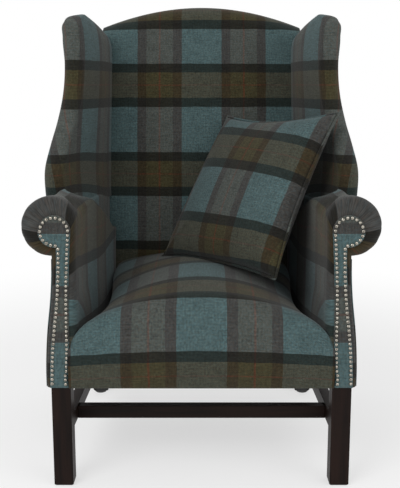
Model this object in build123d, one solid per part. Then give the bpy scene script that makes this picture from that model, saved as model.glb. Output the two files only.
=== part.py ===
from build123d import *
import math
import os

# A wing-backed fireside armchair: mahogany show-wood legs and stretchers, a beech frame,
# springs and webbing, pads, and a woollen cover with scroll facings on the arms.
# X runs across the chair, Y from front to back and Z up, in millimetres.
# The drawing starts at the front plane of the legs and is centred front to back on export.

# ---- Driving dimensions ----------------------------------------------------------------

# Show-wood
rail_underside = 233      # height of the legs below the upholstery
leg_size = 43             # square front legs
leg_outer = 332           # half of the width over the front legs
leg_rebate = 4            # the hidden leg top is set back for the cover
back_leg_x = 297          # middle of a back leg
back_leg_width = 42
back_leg_depth = 45
back_foot_y = 610         # front edge of a back foot
back_leg_rake = 9         # bow of the back leg below the seat
foot_chamfer = 3
stretcher_width = 25
stretcher_height = 35
stretcher_underside = 120
stretcher_inset = 3       # from the inner face of the legs
stretcher_stop = 30       # the side stretchers end this far in front of the back feet
cross_stretcher_y = 115
cross_stretcher_height = 30
tenon_width = 10
tenon_depth = 12
tenon_shoulder = 6        # above and below a tenon

# Seat frame
rail_height = 80
rail_thickness = 28
front_rail_y = 8
corner_block = 75
corner_block_height = 50

# Covers and pads
cloth = 1.6               # wool cloth with its lining
fit = 0.3                 # gap between soft blocks that press on one another
facing_thickness = 5
panel_margin = 18         # outside panels start this far behind a leading edge
rear_lining = 3           # wadding between the frame and the outside back

# Back
seat_level = 430
back_depth = 510          # inside face of the back at seat level, at the middle
back_thickness = 105
recline = 9.5             # degrees
crest_height = 1096
crest_drop = 47           # how far the camel crest falls to the shoulders
shoulder_half = 268       # half of the width of the back at the shoulders
shoulder_height = 1040
back_base_half = 316      # and just above the seat frame
back_crown = 20           # the middle of the back stands forward of its sides
lumbar_bow = 18
crest_radius = 46
back_underside = 332

# Soft forms: how many straight runs each curve of an outline is drawn in
arm_runs = (2, 3, 6, 6, 6, 4, 3, 1)
seat_runs = (5, 5, 9, 1, 1)
back_runs = (8, 5, 6, 1, 1)
wing_runs = (1, 4, 4, 1, 1)
cushion_runs = (5, 3)
panel_runs = (3, 4, 1, 4, 3, 1)
strip_count = 10          # strips from side to side of the seat and of the back
strip_shares = [2 * i / strip_count - 1 for i in range(strip_count + 1)]

# Covers
panel_top_gap = 4         # the outside arm ends this far under the scroll
panel_neck_gap = 0.6
panel_foot_inset = 18     # outside back, inside the foot of the arms
panel_crest_drop = 26     # and its outline below the crest
panel_shoulder = 20
panel_crest_inset = 6
hem = 2
front_room = 60

# Seat
seat_half = 300           # half of the width at the front, before the arms trim it
seat_taper = 0.0713       # the sides converge towards the back
seat_nose_height = 398
seat_front_height = 440
seat_nose_drop = 56
seat_front_drop = 72
seat_rear_drop = 34
seat_foot_y = -6
seat_nose_y = -8
seat_front_y = 40
seat_belly_y = -10
seat_nose_lead = 6        # the nose stands back by this much at the sides
seat_front_lead = 15
seat_nose_turn = (-5.2, 5.4)  # the nose is rounded out from its chord
seat_belly = 16           # the sprung front swells forward
seat_crown = 18
seat_crown_rise = 3
seat_crown_place = 0.55   # the crown is highest at this share of the depth
seat_rear_reach = 60
seat_base = 336           # underside of the seat pad, over the springs

# Arms: outlines across the arm, from the foot to the scroll
arm_knee = 400            # height at which the arm starts to lean in
facing_line = dict(foot_out=334, knee_out=321, neck_out=312, scroll_x=315, scroll_radius=35,
                   top=618, neck_in=280, knee_in=289, foot_in=294)
padded_line = dict(foot_out=345, knee_out=334, neck_out=326, scroll_x=325, scroll_radius=65,
                   top=655, neck_in=270, knee_in=272, foot_in=276)
rear_line = dict(foot_out=325, knee_out=318, neck_out=311, scroll_x=311, scroll_radius=60,
                 top=650, neck_in=236, knee_in=238, foot_in=241)
arm_knee_bow = 1.5        # the inside arm is drawn in below the knee and swells above it
arm_neck_bow = 2
arm_foot_bow = 3
arm_rear_reach = 40
arm_padding = 28          # depth over which the padding swells behind the facing
arm_swell = ((0, 0), (0.2, 0.6), (1, 1))  # share of that depth, share of the swelling
arm_inner_length = 505    # the inside arm runs this far back before it meets the back
post_depth = 34
post_inset = 3            # the stump stays this far inside the facing
arm_rail_offset = 2       # the arm rails stand off the middle of the stump
arm_rail_inset = 26       # their rear ends, inside the side of the back
tacking_rail_inset = 24
post_entry = 30           # they run this far past the front of the back post
arm_rail_width = 40
arm_rail_height = 28
arm_rail_drop = 62        # middle of the arm rail below the crest of the arm
tacking_rail_width = 22
tacking_rail_height = 32
tacking_rail_z = 362

# Wings: share of the rise, forward edge, outermost point and plumpness of each level
wing_half = 25
wing_foot = 590
wing_tip_drop = 33        # top of the wings below the crest
wing_shape = [
    (0, 185, 362, 1.0), (0.106, 198, 370, 1.0), (0.211, 215, 373, 1.0), (0.328, 250, 364, 1.0),
    (0.444, 288, 352, 1.0), (0.592, 322, 341, 1.0), (0.74, 333, 337, 1.0),
    (0.877, 338, 341, 1.0), (0.951, 350, 342, 0.9), (0.987, 376, 335, 0.62),
    (1, 400, 325, 0.3)]
wing_seam = 244           # where the inside wing meets the inside back
wing_fall = 0.18          # slope of the top of the wing towards the back
wing_rear_extra = 22      # the outside wing stands out from the side of the back
wing_fall_start = 700     # height above which the levels slope
wing_nose_set = 0.97      # centre of the rounded edge inside the outermost point
wing_rear_reach = 30
wing_seam_depth = 25
wing_stick_levels = 8     # the stick follows this many levels
wing_panel_levels = 9
wing_stick_setback = 3
wing_rail_start = 10
wing_rail_entry = 5
wing_rail_inset = 16
wing_rail_slope = 0.126
wing_stick_width = 20
wing_stick_depth = 26
wing_rail_drop = 42

# Back frame
post_side_padding = 5     # padding over the outer side of the posts
crest_heel = 0.75         # shape of the crest, in shares of its radius
crest_brow = (0.32, 0.3)
crest_crown = (0.25, 0.22)
inset_rear_gap = 4        # an envelope inside or outside the back stops this far behind it
back_post_width = 38
back_post_depth = 42
back_post_drop = 111      # top of the back posts below the crest
top_rail_thickness = 28
top_rail_cover = 16       # padding over the top rail
lower_back_rail_z = 490
back_rail_height = 60
back_rail_thickness = 25
window_margin = 4         # padding left round the hollow of the back frame

# Springs and webbing
spring_wire = 3.6
spring_count = 4
spring_pitch = 118
spring_bends = 8
spring_reach = 30         # half of the width of a zigzag
spring_corner = 9         # each turn is bent at four corners
clip_thickness = 1.5
clip_width = 24
clip_length = 16
web_width = 50
web_thickness = 2
web_rows = 4
web_landing = 30          # the webs end this far inside the side of the back
dust_cover_thickness = 1.2
buffer_x = 225            # rubber buffers under the front of the seat frame
buffer_y = 25
buffer_radius = 17
buffer_height = 16
buffer_round = 6

# Scatter cushion
cushion_size = 425
cushion_half_thickness = 62
cushion_corner = 26
cushion_bow = 9           # how far the sides are drawn in
cushion_levels = [(1, 0), (0.93, 0.4), (0.76, 0.76), (0.52, 0.95), (0.25, 1)]  # size, height
piping_radius = 3
cushion_centre = (116, 330, 638)
cushion_yaw = -54
cushion_lean = -31
cushion_roll = -3


# ---- Places that follow from the dimensions ---------------------------------------------

frame_top = rail_underside + rail_height
rail_z = rail_underside + rail_height / 2
side_rail_front_x = leg_outer - leg_rebate - 2 - rail_thickness / 2
side_rail_rear_x = back_leg_x
back_post_top = crest_height - back_post_drop
wing_rise = crest_height - wing_tip_drop - wing_foot
wing_levels = [(wing_foot + share * wing_rise, y, x, plump) for share, y, x, plump in wing_shape]


# ---- Shared geometry -------------------------------------------------------------------

def inside_back_y(z):
    """Depth of the inside face of the back at a height, at the middle of the chair."""
    return back_depth + (z - seat_level) * math.tan(math.radians(recline))


def rear_y(z):
    """Depth of the outside face of the back at a height."""
    return inside_back_y(z) + back_thickness


def back_half(z):
    """Half of the width of the back at a height."""
    taper = (back_base_half - shoulder_half) / (shoulder_height - back_underside)
    return shoulder_half + (shoulder_height - z) * taper


def arc_edge(start, end, bow):
    """Arc between two points; its middle stands off the chord by bow, to the left."""
    start, end = Vector(start), Vector(end)
    chord = end - start
    side = chord.cross(bow_axis(chord)).normalized()
    return Edge.make_three_point_arc(start, (start + end) * 0.5 + side * bow, end)


def bow_axis(chord):
    """Axis square to the plane in which an arc over this chord is drawn."""
    if abs(chord.X) < 1e-6 * chord.length:
        return Vector(1, 0, 0)
    return Vector(0, -1, 0)


def quarter(centre, start, end, square):
    """Quarter of a circle about a centre; square is the corner outside the arc."""
    centre, square = Vector(centre), Vector(square)
    reach = (Vector(start) - centre).length
    middle = centre + (square - centre).normalized() * reach
    return Edge.make_three_point_arc(Vector(start), middle, Vector(end))


def in_runs(edges, counts):
    """Ring of points around a closed outline: each of its curves is walked in a few even steps."""
    return [edge @ (i / count) for edge, count in zip(edges, counts) for i in range(count)]


def stretched_over(rings):
    """Solid in a skin of flat facets stretched over rings that have as many points as each other."""
    faces = [Face(Wire.make_polygon(ring)) for ring in (rings[0], rings[-1])]
    for ring, following in zip(rings, rings[1:]):
        for i in range(len(ring)):
            a, b, c, d = ring[i - 1], ring[i], following[i], following[i - 1]
            faces += [Face(Wire.make_polygon(corners)) for corners in ((a, b, c), (a, c, d))]
    return Solid(Shell(faces))


def bar(start, end, width, height):
    """Straight bar of rectangular section between two points, with upright sides."""
    line = Vector(end) - Vector(start)
    across = Vector(0, 0, 1).cross(line).normalized()
    section = Plane(Vector(start), x_dir=across, z_dir=line) * Rectangle(width, height)
    return extrude(section, line.length)


def shouldered(body, tenon, hosts):
    """Trim a bar to its shoulders against the pieces that carry it, with its tenon left."""
    for host in hosts:
        body = body - host
    return body + tenon


def less(body, *tools):
    """Body with every tool cut away."""
    body = Part() + body
    for tool in tools:
        body = body - tool
    return body


def main_solid(shape):
    """The largest solid of a shape."""
    return shape.solids().sort_by(SortBy.VOLUME)[-1]


def other_side(shape):
    """The same piece on the left of the chair."""
    return mirror(shape, about=Plane.YZ)


def behind_the_back(inset=0.0):
    """Everything behind the outside face of the back, or behind a face inside it."""
    foot, head, far = 0, 2 * crest_height, 4 * back_depth
    outline = Polyline((rear_y(foot) - inset, foot), (rear_y(head) - inset, head), (far, head),
                       (far, foot), close=True)
    return extrude(Plane.YZ * make_face(outline), 2 * leg_outer, both=True)


# ---- Envelopes of the upholstery -------------------------------------------------------

def arm_outline(y, line, swell=0.0):
    """Edges around the section of the right arm at depth y."""
    def point(x, z):
        return (x, y, z)
    base = rail_underside
    radius = line["scroll_radius"] + swell
    top = line["top"] + swell
    roll = top - radius
    inner = line["neck_in"] - swell
    turn = line["scroll_x"] - inner
    neck = line["neck_out"] + swell
    under = roll - math.sqrt(radius ** 2 - (neck - line["scroll_x"]) ** 2)
    foot_in = point(line["foot_in"] - swell, base)
    knee_in = point(line["knee_in"] - swell, arm_knee)
    neck_in = point(inner, top - turn)
    crest = point(line["scroll_x"], top)
    outermost = point(line["scroll_x"] + radius, roll)
    neck_out = point(neck, under)
    knee_out = point(line["knee_out"] + swell, arm_knee)
    foot_out = point(line["foot_out"] + swell, base)
    centre = point(line["scroll_x"], roll)
    return [
        arc_edge(foot_in, knee_in, arm_knee_bow),
        arc_edge(knee_in, neck_in, -arm_knee_bow),
        quarter(point(line["scroll_x"], top - turn), neck_in, crest, point(inner, top)),
        quarter(centre, crest, outermost, point(line["scroll_x"] + radius, top)),
        quarter(centre, outermost, neck_out, point(line["scroll_x"] + radius, roll - radius)),
        arc_edge(neck_out, knee_out, -arm_neck_bow),
        arc_edge(knee_out, foot_out, arm_foot_bow),
        Edge.make_line(foot_out, foot_in)]


def blend(line, other, share):
    """Outline part of the way between two outlines."""
    return {name: line[name] + (other[name] - line[name]) * share for name in line}


def arm_envelope(swell=0.0):
    """Right arm from the facing to behind the back; swell moves its surface outward."""
    front = max(0.0, -swell)
    outlines = []
    for depth, share in arm_swell:
        line = blend(facing_line, padded_line, share)
        outlines.append(arm_outline(front + arm_padding * depth, line, swell))
    outlines.append(arm_outline(arm_inner_length, rear_line, swell))
    outlines.append(arm_outline(rear_y(padded_line["top"]) + arm_rear_reach, rear_line, swell))
    return stretched_over([in_runs(outline, arm_runs) for outline in outlines])


def seat_profile(share, inset):
    """Ring around the seat from front to back, at a share of its half width."""
    def point(y, z):
        return ((seat_half - seat_taper * y) * share, y, z)
    wide = share ** 2
    rear = inside_back_y(seat_front_height) + seat_rear_reach
    base = rail_underside - inset
    nose_z = seat_nose_height - seat_nose_drop * wide
    front_z = seat_front_height - seat_front_drop * wide - inset
    back_z = seat_front_height - seat_rear_drop * wide - inset
    bottom = point(seat_foot_y + inset, base)
    belly = point(seat_belly_y - seat_belly * (1 - wide) + inset, 0.5 * (base + nose_z))
    nose = point(seat_nose_y + seat_nose_lead * wide + inset, nose_z)
    front = point(seat_front_y - seat_front_lead * wide, front_z)
    back = point(rear, back_z)
    out, up = seat_nose_turn
    turn = point(0.5 * (nose[1] + front[1]) + out, 0.5 * (nose_z + front_z) + up)
    crown_z = 0.5 * (front_z + back_z) + seat_crown_rise + seat_crown * (1 - wide)
    crown = point(rear * seat_crown_place, crown_z)
    return in_runs([
        Edge.make_three_point_arc(bottom, belly, nose),
        Edge.make_three_point_arc(nose, turn, front),
        Edge.make_three_point_arc(front, crown, back),
        Edge.make_line(back, point(rear, base)),
        Edge.make_line(point(rear, base), bottom)], seat_runs)


def seat_envelope(inset=0.0):
    """Seat from side to side, wider than the room between the arms."""
    return stretched_over([seat_profile(share, inset) for share in strip_shares])


def back_profile(share, inset):
    """Ring around the back from its foot to the crest, at a share of its half width."""
    def point(y, z):
        half = back_half(z) - inset
        return (half * share, y, z)
    wide = share ** 2
    top = crest_height - crest_drop * wide - inset
    step = back_crown * wide + inset
    foot = back_underside - abs(inset)
    shoulder = top - crest_radius
    rear = inset_rear_gap if inset else 0
    low = point(inside_back_y(foot) + lumbar_bow + step, foot)
    high_y = inside_back_y(shoulder) + lumbar_bow + step
    high = point(high_y, shoulder)
    middle_z = 0.5 * (foot + shoulder)
    bend = point(inside_back_y(middle_z) + step, middle_z)
    brow_out, brow_down = crest_brow
    brow = point(high_y + brow_out * crest_radius, top - brow_down * crest_radius)
    apex = point(inside_back_y(top) + 0.5 * (back_thickness + lumbar_bow + step), top)
    crown_in, crown_down = crest_crown
    crown_z = top - crown_down * crest_radius
    crown = point(rear_y(crown_z) + rear - crown_in * crest_radius, crown_z)
    heel = top - crest_heel * crest_radius
    nape = point(rear_y(heel) + rear, heel)
    return in_runs([
        Edge.make_three_point_arc(low, bend, high),
        Edge.make_three_point_arc(high, brow, apex),
        Edge.make_three_point_arc(apex, crown, nape),
        Edge.make_line(nape, point(rear_y(foot) + rear, foot)),
        Edge.make_line(point(rear_y(foot) + rear, foot), low)], back_runs)


def back_envelope(inset=0.0):
    """Back from side to side, under the camel crest."""
    return stretched_over([back_profile(share, inset) for share in strip_shares])


def wing_ring(level, swell=0.0, panel=False):
    """Ring around the right wing at one level, or around its outside panel."""
    height, lead_y, lead_x, plump = level
    height = height + swell if plump < 1 else height
    half = wing_half * plump + swell
    fall = wing_fall * max(0.0, (height - wing_fall_start) / (crest_height - wing_fall_start))
    rear = rear_y(height) + wing_rear_reach
    pinch = wing_half * (1 - plump)
    outer_rear = back_half(height) + wing_rear_extra - pinch + swell
    seam = Vector(wing_seam + pinch - swell, inside_back_y(height) + wing_seam_depth)
    nose = Vector(lead_x - wing_half * wing_nose_set, lead_y + wing_half)
    run = (Vector(outer_rear - half, rear) - nose).normalized()
    out = Vector(run.Y, -run.X)

    def point(flat):
        return (flat.X, flat.Y, height - (flat.Y - lead_y) * fall)
    outer, inner, tip = nose + out * half, nose - out * half, nose - run * half
    end = Vector(outer_rear, rear)
    if panel:
        start = outer + (end - outer).normalized() * panel_margin
        skin = out * cloth
        return [point(corner) for corner in (start, end, end + skin, start + skin)]
    stretch = (rear - inner.Y) / (seam.Y - inner.Y)
    inner_end = inner + (seam - inner) * stretch
    diagonal = half * math.sqrt(0.5)
    first = nose + out * diagonal - run * diagonal
    second = nose - out * diagonal - run * diagonal
    return in_runs([
        Edge.make_line(point(end), point(outer)),
        Edge.make_three_point_arc(point(outer), point(first), point(tip)),
        Edge.make_three_point_arc(point(tip), point(second), point(inner)),
        Edge.make_line(point(inner), point(inner_end)),
        Edge.make_line(point(inner_end), point(end))], wing_runs)


def wing_envelope(swell=0.0):
    """Right wing from inside the arm scroll to its rounded top."""
    return stretched_over([wing_ring(level, swell) for level in wing_levels])


# ---- Show-wood -------------------------------------------------------------------------

def front_leg():
    """Right front leg: square below the upholstery, rebated behind the cover above it."""
    inner = leg_outer - leg_size
    foot = Pos(inner, 0, 0) * Box(leg_size, leg_size, rail_underside, align=Align.MIN)
    foot = chamfer(foot.faces().sort_by(Axis.Z)[0].edges(), foot_chamfer)
    hidden = leg_size - leg_rebate
    top = Pos(inner, leg_rebate, rail_underside) * Box(
        hidden, hidden, rail_height, align=Align.MIN)
    return foot + top


def back_leg():
    """Right back leg: raked back below the seat and following the back above it."""
    top = frame_top
    rear_top = rear_y(top) - rear_lining
    front_top = rear_top - back_leg_depth
    front_bend = rear_y(rail_underside) - rear_lining - back_leg_depth
    heel = back_foot_y + back_leg_depth
    outline = Wire([
        Edge.make_line((0, back_foot_y, 0), (0, heel, 0)),
        arc_edge((0, heel, 0), (0, front_bend + back_leg_depth, rail_underside), -back_leg_rake),
        Edge.make_line((0, front_bend + back_leg_depth, rail_underside), (0, rear_top, top)),
        Edge.make_line((0, rear_top, top), (0, front_top, top)),
        Edge.make_line((0, front_top, top), (0, front_bend, rail_underside)),
        arc_edge((0, front_bend, rail_underside), (0, back_foot_y, 0), back_leg_rake)])
    leg = extrude(Pos(back_leg_x, 0, 0) * make_face(outline), back_leg_width / 2, both=True)
    return chamfer(leg.faces().sort_by(Axis.Z)[0].edges(), foot_chamfer)


def side_stretcher(height, width):
    """Bar from the right front leg to the right back leg."""
    inset = stretcher_inset + stretcher_width / 2
    z = stretcher_underside + stretcher_height / 2
    front = (leg_outer - leg_size + inset, leg_size - tenon_depth, z)
    rear = (back_leg_x - back_leg_width / 2 + inset, back_foot_y - stretcher_stop, z)
    return bar(front, rear, width, height)


def cross_stretcher(height, width, reach):
    """Bar between the two side stretchers."""
    z = stretcher_underside + cross_stretcher_height / 2
    half = leg_outer - leg_size + reach
    return bar((-half, cross_stretcher_y, z), (half, cross_stretcher_y, z), width, height)


# ---- Seat frame ------------------------------------------------------------------------

def front_rail(height, width, reach):
    """Rail between the front legs; reach is how far it enters each leg."""
    half = leg_outer - leg_size + reach
    y = front_rail_y + rail_thickness / 2
    return bar((-half, y, rail_z), (half, y, rail_z), width, height)


def side_rail(height, width, reach):
    """Right seat rail from the front leg to the back leg."""
    rear = rear_y(rail_z) - rear_lining - back_leg_depth + reach
    return bar((side_rail_front_x, leg_size - reach, rail_z), (side_rail_rear_x, rear, rail_z),
               width, height)


def back_rail():
    """Rail between the back legs."""
    half = back_leg_x - back_leg_width / 2
    return across_back(rail_underside, frame_top, rail_thickness, half)


def back_rail_front():
    """Front edge of the top of the back seat rail."""
    return rear_y(frame_top) - rear_lining - rail_thickness


def corner_blocks(cutters):
    """Glue blocks in the four corners of the seat frame."""
    blocks = []
    z = frame_top - corner_block_height
    reach = corner_block + rail_thickness
    for y, turn in ((front_rail_y, 1), (rear_y(rail_underside) - rear_lining, -1)):
        outline = Polyline((side_rail_front_x, y), (side_rail_front_x - reach, y),
                           (side_rail_front_x, y + turn * reach), close=True)
        block = less(extrude(Pos(0, 0, z) * make_face(outline), corner_block_height), *cutters)
        block = main_solid(block)
        blocks += [block, other_side(block)]
    return Compound(blocks)


# ---- Arm, back and wing frame ----------------------------------------------------------

def arm_post():
    """Right front stump: a board cut to the outline of the facing, standing on the leg."""
    board = extrude(make_face(Wire(arm_outline(cloth, facing_line, -post_inset))), post_depth,
                    dir=(0, 1, 0))
    below = Pos(leg_outer, 0, 0) * Box(leg_outer, leg_outer, 2 * frame_top)
    return board - below


def post_face_y(z):
    """Front face of a back post at a height."""
    return rear_y(z) - rear_lining - back_post_depth


def arm_rail():
    """Right top arm rail, from the stump to the back post."""
    z = padded_line["top"] - arm_rail_drop
    start = (facing_line["scroll_x"] + arm_rail_offset, cloth + post_depth / 2, z)
    end = (back_half(z) - arm_rail_inset, post_face_y(z) + post_entry, z)
    return bar(start, end, arm_rail_width, arm_rail_height)


def tacking_rail():
    """Right lower arm rail, to which the inside arm is tacked."""
    z = tacking_rail_z
    middle = 0.5 * (facing_line["foot_in"] + facing_line["foot_out"])
    start = (middle - arm_rail_offset, cloth + post_depth / 2, z)
    end = (back_half(z) - tacking_rail_inset, post_face_y(z) + post_entry, z)
    return bar(start, end, tacking_rail_width, tacking_rail_height)


def post_section(z):
    """Section of the right back post at a height."""
    outer = back_half(z) - post_side_padding
    front = post_face_y(z)
    return Pos(outer - back_post_width / 2, front + back_post_depth / 2, z) * Rectangle(
        back_post_width, back_post_depth)


def back_post():
    """Right back post, spliced onto the leg and leaning back with the inside back."""
    ends = [post_section(z).wire() for z in (frame_top, back_post_top)]
    return Solid.make_loft(ends, ruled=True)


def across_back(low, high, thickness, half):
    """Rail across the back frame between two heights, leaning with the recline."""
    low_y, high_y = rear_y(low) - rear_lining, rear_y(high) - rear_lining
    outline = Polyline((low_y - thickness, low), (low_y, low), (high_y, high),
                       (high_y - thickness, high), close=True)
    return extrude(Plane.YZ * make_face(outline), half, both=True)


def frame_window():
    """Hollow of the back frame behind its webs, from the lower rail to the crest rail."""
    low = lower_back_rail_z + back_rail_height / 2 + window_margin
    high = back_post_top - window_margin
    low_y, high_y = post_face_y(low) - web_thickness, post_face_y(high) - web_thickness
    outline = Polyline((low_y, low), (rear_y(low) + rear_lining, low), (rear_y(high) + rear_lining, high),
                       (high_y, high), close=True)
    half = back_half(high) - post_side_padding - back_post_width - window_margin
    return extrude(Plane.YZ * make_face(outline), half, both=True)


def back_top_rail():
    """Crest rail on top of the back posts, cut to the camel curve."""
    low = back_post_top
    half = back_half(low) - post_side_padding
    ends = crest_height - crest_drop - top_rail_cover
    curve = Wire([
        Edge.make_line((-half, 0, low), (half, 0, low)),
        Edge.make_line((half, 0, low), (half, 0, ends)),
        Edge.make_three_point_arc((half, 0, ends), (0, 0, crest_height - top_rail_cover),
                                  (-half, 0, ends)),
        Edge.make_line((-half, 0, ends), (-half, 0, low))])
    board = extrude(make_face(curve), 2 * back_depth, dir=(0, 1, 0))
    return board & across_back(low, crest_height, top_rail_thickness, back_half(low))


def wing_stick():
    """Right wing post: a stick sawn to the leading edge, standing on the arm rail."""
    sections = []
    for height, lead_y, lead_x, plump in wing_levels[:wing_stick_levels]:
        centre = (lead_x - wing_half, lead_y + wing_half + wing_stick_setback, height)
        sections.append((Pos(*centre) * Rectangle(wing_stick_width, wing_stick_depth)).wire())
    return Solid.make_loft(sections)


def wing_rail():
    """Right top wing rail, from the wing post to the back post."""
    height, lead_y, lead_x, plump = wing_levels[wing_stick_levels - 1]
    z = height - wing_rail_drop / 2
    start = (lead_x - wing_half, lead_y + wing_half + wing_rail_start, z)
    rear = post_face_y(z) + wing_rail_entry
    end = (back_half(z) - wing_rail_inset, rear, z - (rear - lead_y) * wing_rail_slope)
    return bar(start, end, wing_stick_width, wing_stick_depth)


# ---- Springs and webbing ---------------------------------------------------------------

def zigzag_spring(x):
    """One flat zigzag spring of square wire, from the front rail to the back rail."""
    front, rear = front_rail_y + rail_thickness, back_rail_front()
    start, end = front + spring_wire, rear - spring_wire
    step = (end - start) / spring_bends
    points = [(0, front - clip_length), (0, start)]
    for turn in range(spring_bends):
        side = 1 if turn % 2 else -1
        far, near = side * spring_reach, side * (spring_reach - spring_corner)
        low, high = start + turn * step, start + (turn + 1) * step
        points += [(near, low), (far, low + spring_corner), (far, high - spring_corner),
                   (near, high)]
    points += [(0, end), (0, rear + clip_length)]
    path = Polyline(*points)
    section = Plane(path @ 0, x_dir=(1, 0, 0), z_dir=(0, 1, 0)) * Rectangle(
        spring_wire, spring_wire)
    spring = sweep(section, path=path, transition=Transition.RIGHT)
    return Pos(x, 0, frame_top + clip_thickness + spring_wire / 2) * spring


def spring_rows():
    """Places of the springs across the seat."""
    return [(row - (spring_count - 1) / 2) * spring_pitch for row in range(spring_count)]


def seat_springs():
    """All the seat springs."""
    return Compound([solid for x in spring_rows() for solid in zigzag_spring(x).solids()])


def spring_clip(x, y):
    """Clip on top of a rail, folded over the end of a spring."""
    width, length, wire = clip_width, clip_length, spring_wire
    on_top = (Align.CENTER, Align.CENTER, Align.MIN)
    hood = wire + 2 * clip_thickness
    plate = Box(width, length, clip_thickness, align=on_top)
    fold = Box(hood, length, hood, align=on_top)
    slot = Pos(0, 0, clip_thickness) * Box(wire, length, wire, align=on_top)
    return Pos(x, y, frame_top) * (plate + fold - slot)


def spring_clips():
    """Clips at both ends of every spring."""
    front = front_rail_y + rail_thickness - clip_length / 2
    rear = back_rail_front() + clip_length / 2
    clips = [spring_clip(x, y) for x in spring_rows() for y in (front, rear)]
    return Compound([solid for clip in clips for solid in clip.solids()])


def back_webbing():
    """Webs across and up the back frame, tacked to the front of the posts and rails."""
    webs = []
    low, high = lower_back_rail_z, back_post_top
    lean = Plane((0, post_face_y(low), low), x_dir=(1, 0, 0),
                 z_dir=(0, -math.cos(math.radians(recline)), math.sin(math.radians(recline))))
    rise = (high - low) / math.cos(math.radians(recline))
    for row in range(web_rows):
        z = (row + 0.5) * rise / web_rows
        half = back_half(low + z) - web_landing
        web = Pos(0, z, web_thickness / 2) * Box(2 * half, web_width, web_thickness)
        webs.append(lean * web)
    return Compound([solid for web in webs for solid in web.solids()])


def dust_cover():
    """Black cloth under the seat frame, cut around the legs."""
    half = leg_outer - leg_rebate - hem
    rear_half = back_leg_x + rail_thickness / 2
    rear = rear_y(rail_underside) - rear_lining
    front = front_rail_y + hem
    outline = Polyline((-half, front), (half, front), (rear_half, rear), (-rear_half, rear),
                       close=True)
    z = rail_underside - dust_cover_thickness
    return extrude(Pos(0, 0, z) * make_face(outline), dust_cover_thickness)


def rail_buffers():
    """Domed rubber buffers under the front of the seat frame."""
    dome = Cylinder(buffer_radius, buffer_height, align=(Align.CENTER, Align.CENTER, Align.MAX))
    dome = chamfer(dome.edges().sort_by(Axis.Z)[0], buffer_round)
    seat = rail_underside - dust_cover_thickness
    return Compound([Pos(side * buffer_x, buffer_y, seat) * dome.solid() for side in (-1, 1)])


# ---- Covers ----------------------------------------------------------------------------

def arm_facing():
    """Right scroll facing: a covered board over the front of the arm."""
    return extrude(make_face(Wire(arm_outline(-facing_thickness, facing_line))), facing_thickness,
                   dir=(0, 1, 0))


def outside_arm_panel():
    """Right outside arm: cloth from under the scroll to the bottom of the rail."""
    rings = []
    stations = [(arm_padding * depth, blend(facing_line, padded_line, share))
                for depth, share in arm_swell[1:]]
    stations += [(arm_inner_length, rear_line), (rear_y(padded_line["top"]) + arm_rear_reach, rear_line)]
    for y, line in stations:
        high = line["top"] - 2 * line["scroll_radius"] - panel_top_gap
        foot = (line["foot_out"], y, rail_underside)
        knee = (line["knee_out"], y, arm_knee)
        neck = (line["neck_out"] + panel_neck_gap, y, high)
        skin = Vector(cloth, 0, 0)
        rings.append(in_runs([
            arc_edge(foot, knee, -arm_foot_bow),
            arc_edge(knee, neck, arm_neck_bow),
            Edge.make_line(neck, Vector(neck) + skin),
            arc_edge(Vector(neck) + skin, Vector(knee) + skin, -arm_neck_bow),
            arc_edge(Vector(knee) + skin, Vector(foot) + skin, arm_foot_bow),
            Edge.make_line(Vector(foot) + skin, foot)], panel_runs))
    return stretched_over(rings)


def outside_wing_panel():
    """Right outside wing: cloth laid on behind the leading edge."""
    return stretched_over([wing_ring(level, 0, True) for level in wing_levels[:wing_panel_levels]])


def outside_back_panel():
    """Cloth over the whole back, from the rails to the camel crest."""
    half_low = padded_line["foot_out"] - panel_foot_inset
    half_high = shoulder_half + wing_rear_extra
    half_crest = shoulder_half - panel_crest_inset
    ends = crest_height - crest_drop - panel_crest_drop
    sides = ends - panel_shoulder
    low = rail_underside
    curve = Wire([
        Edge.make_line((-half_low, 0, low), (half_low, 0, low)),
        Edge.make_line((half_low, 0, low), (half_high, 0, sides)),
        Edge.make_line((half_high, 0, sides), (half_crest, 0, ends)),
        Edge.make_three_point_arc((half_crest, 0, ends), (0, 0, crest_height - panel_crest_drop),
                                  (-half_crest, 0, ends)),
        Edge.make_line((-half_crest, 0, ends), (-half_high, 0, sides)),
        Edge.make_line((-half_high, 0, sides), (-half_low, 0, low))])
    board = extrude(make_face(curve), 2 * back_depth, dir=(0, 1, 0))
    outline = Polyline((rear_y(low), low), (rear_y(low) + cloth, low),
                       (rear_y(crest_height) + cloth, crest_height),
                       (rear_y(crest_height), crest_height), close=True)
    return board & extrude(Plane.YZ * make_face(outline), leg_outer, both=True)


# ---- Scatter cushion -------------------------------------------------------------------

def cushion_outline(share, inset):
    """Edges around the cushion at a share of its size: four drawn-in sides and round corners."""
    half = (cushion_size / 2 - inset) * share
    corner = cushion_corner * share
    flat = 2 * (half - corner)
    bow = cushion_bow * share
    turn = math.degrees(4 * math.atan(2 * bow / flat))
    side_radius = flat / 2 / math.sin(math.radians(turn / 2))
    corner_turn = 90 + turn
    lean = math.radians(turn / 2)
    edges = []
    point, direction = Vector(-flat / 2, -half), Vector(math.cos(lean), math.sin(lean))
    for _ in range(4):
        side = JernArc(point, direction, side_radius, -turn)
        bend = JernArc(side @ 1, side % 1, corner, corner_turn)
        edges += [side, bend]
        point, direction = bend @ 1, bend % 1
    return edges


def cushion_solid(inset):
    """Soft cushion from one face to the other through its seam."""
    tall = cushion_half_thickness - inset
    below = [(share, -rise) for share, rise in reversed(cushion_levels[1:])]
    rings = []
    for share, rise in below + cushion_levels:
        outline = in_runs(cushion_outline(share, inset), cushion_runs * 4)
        rings.append([spot + Vector(0, 0, tall * rise) for spot in outline])
    return stretched_over(rings)


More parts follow.
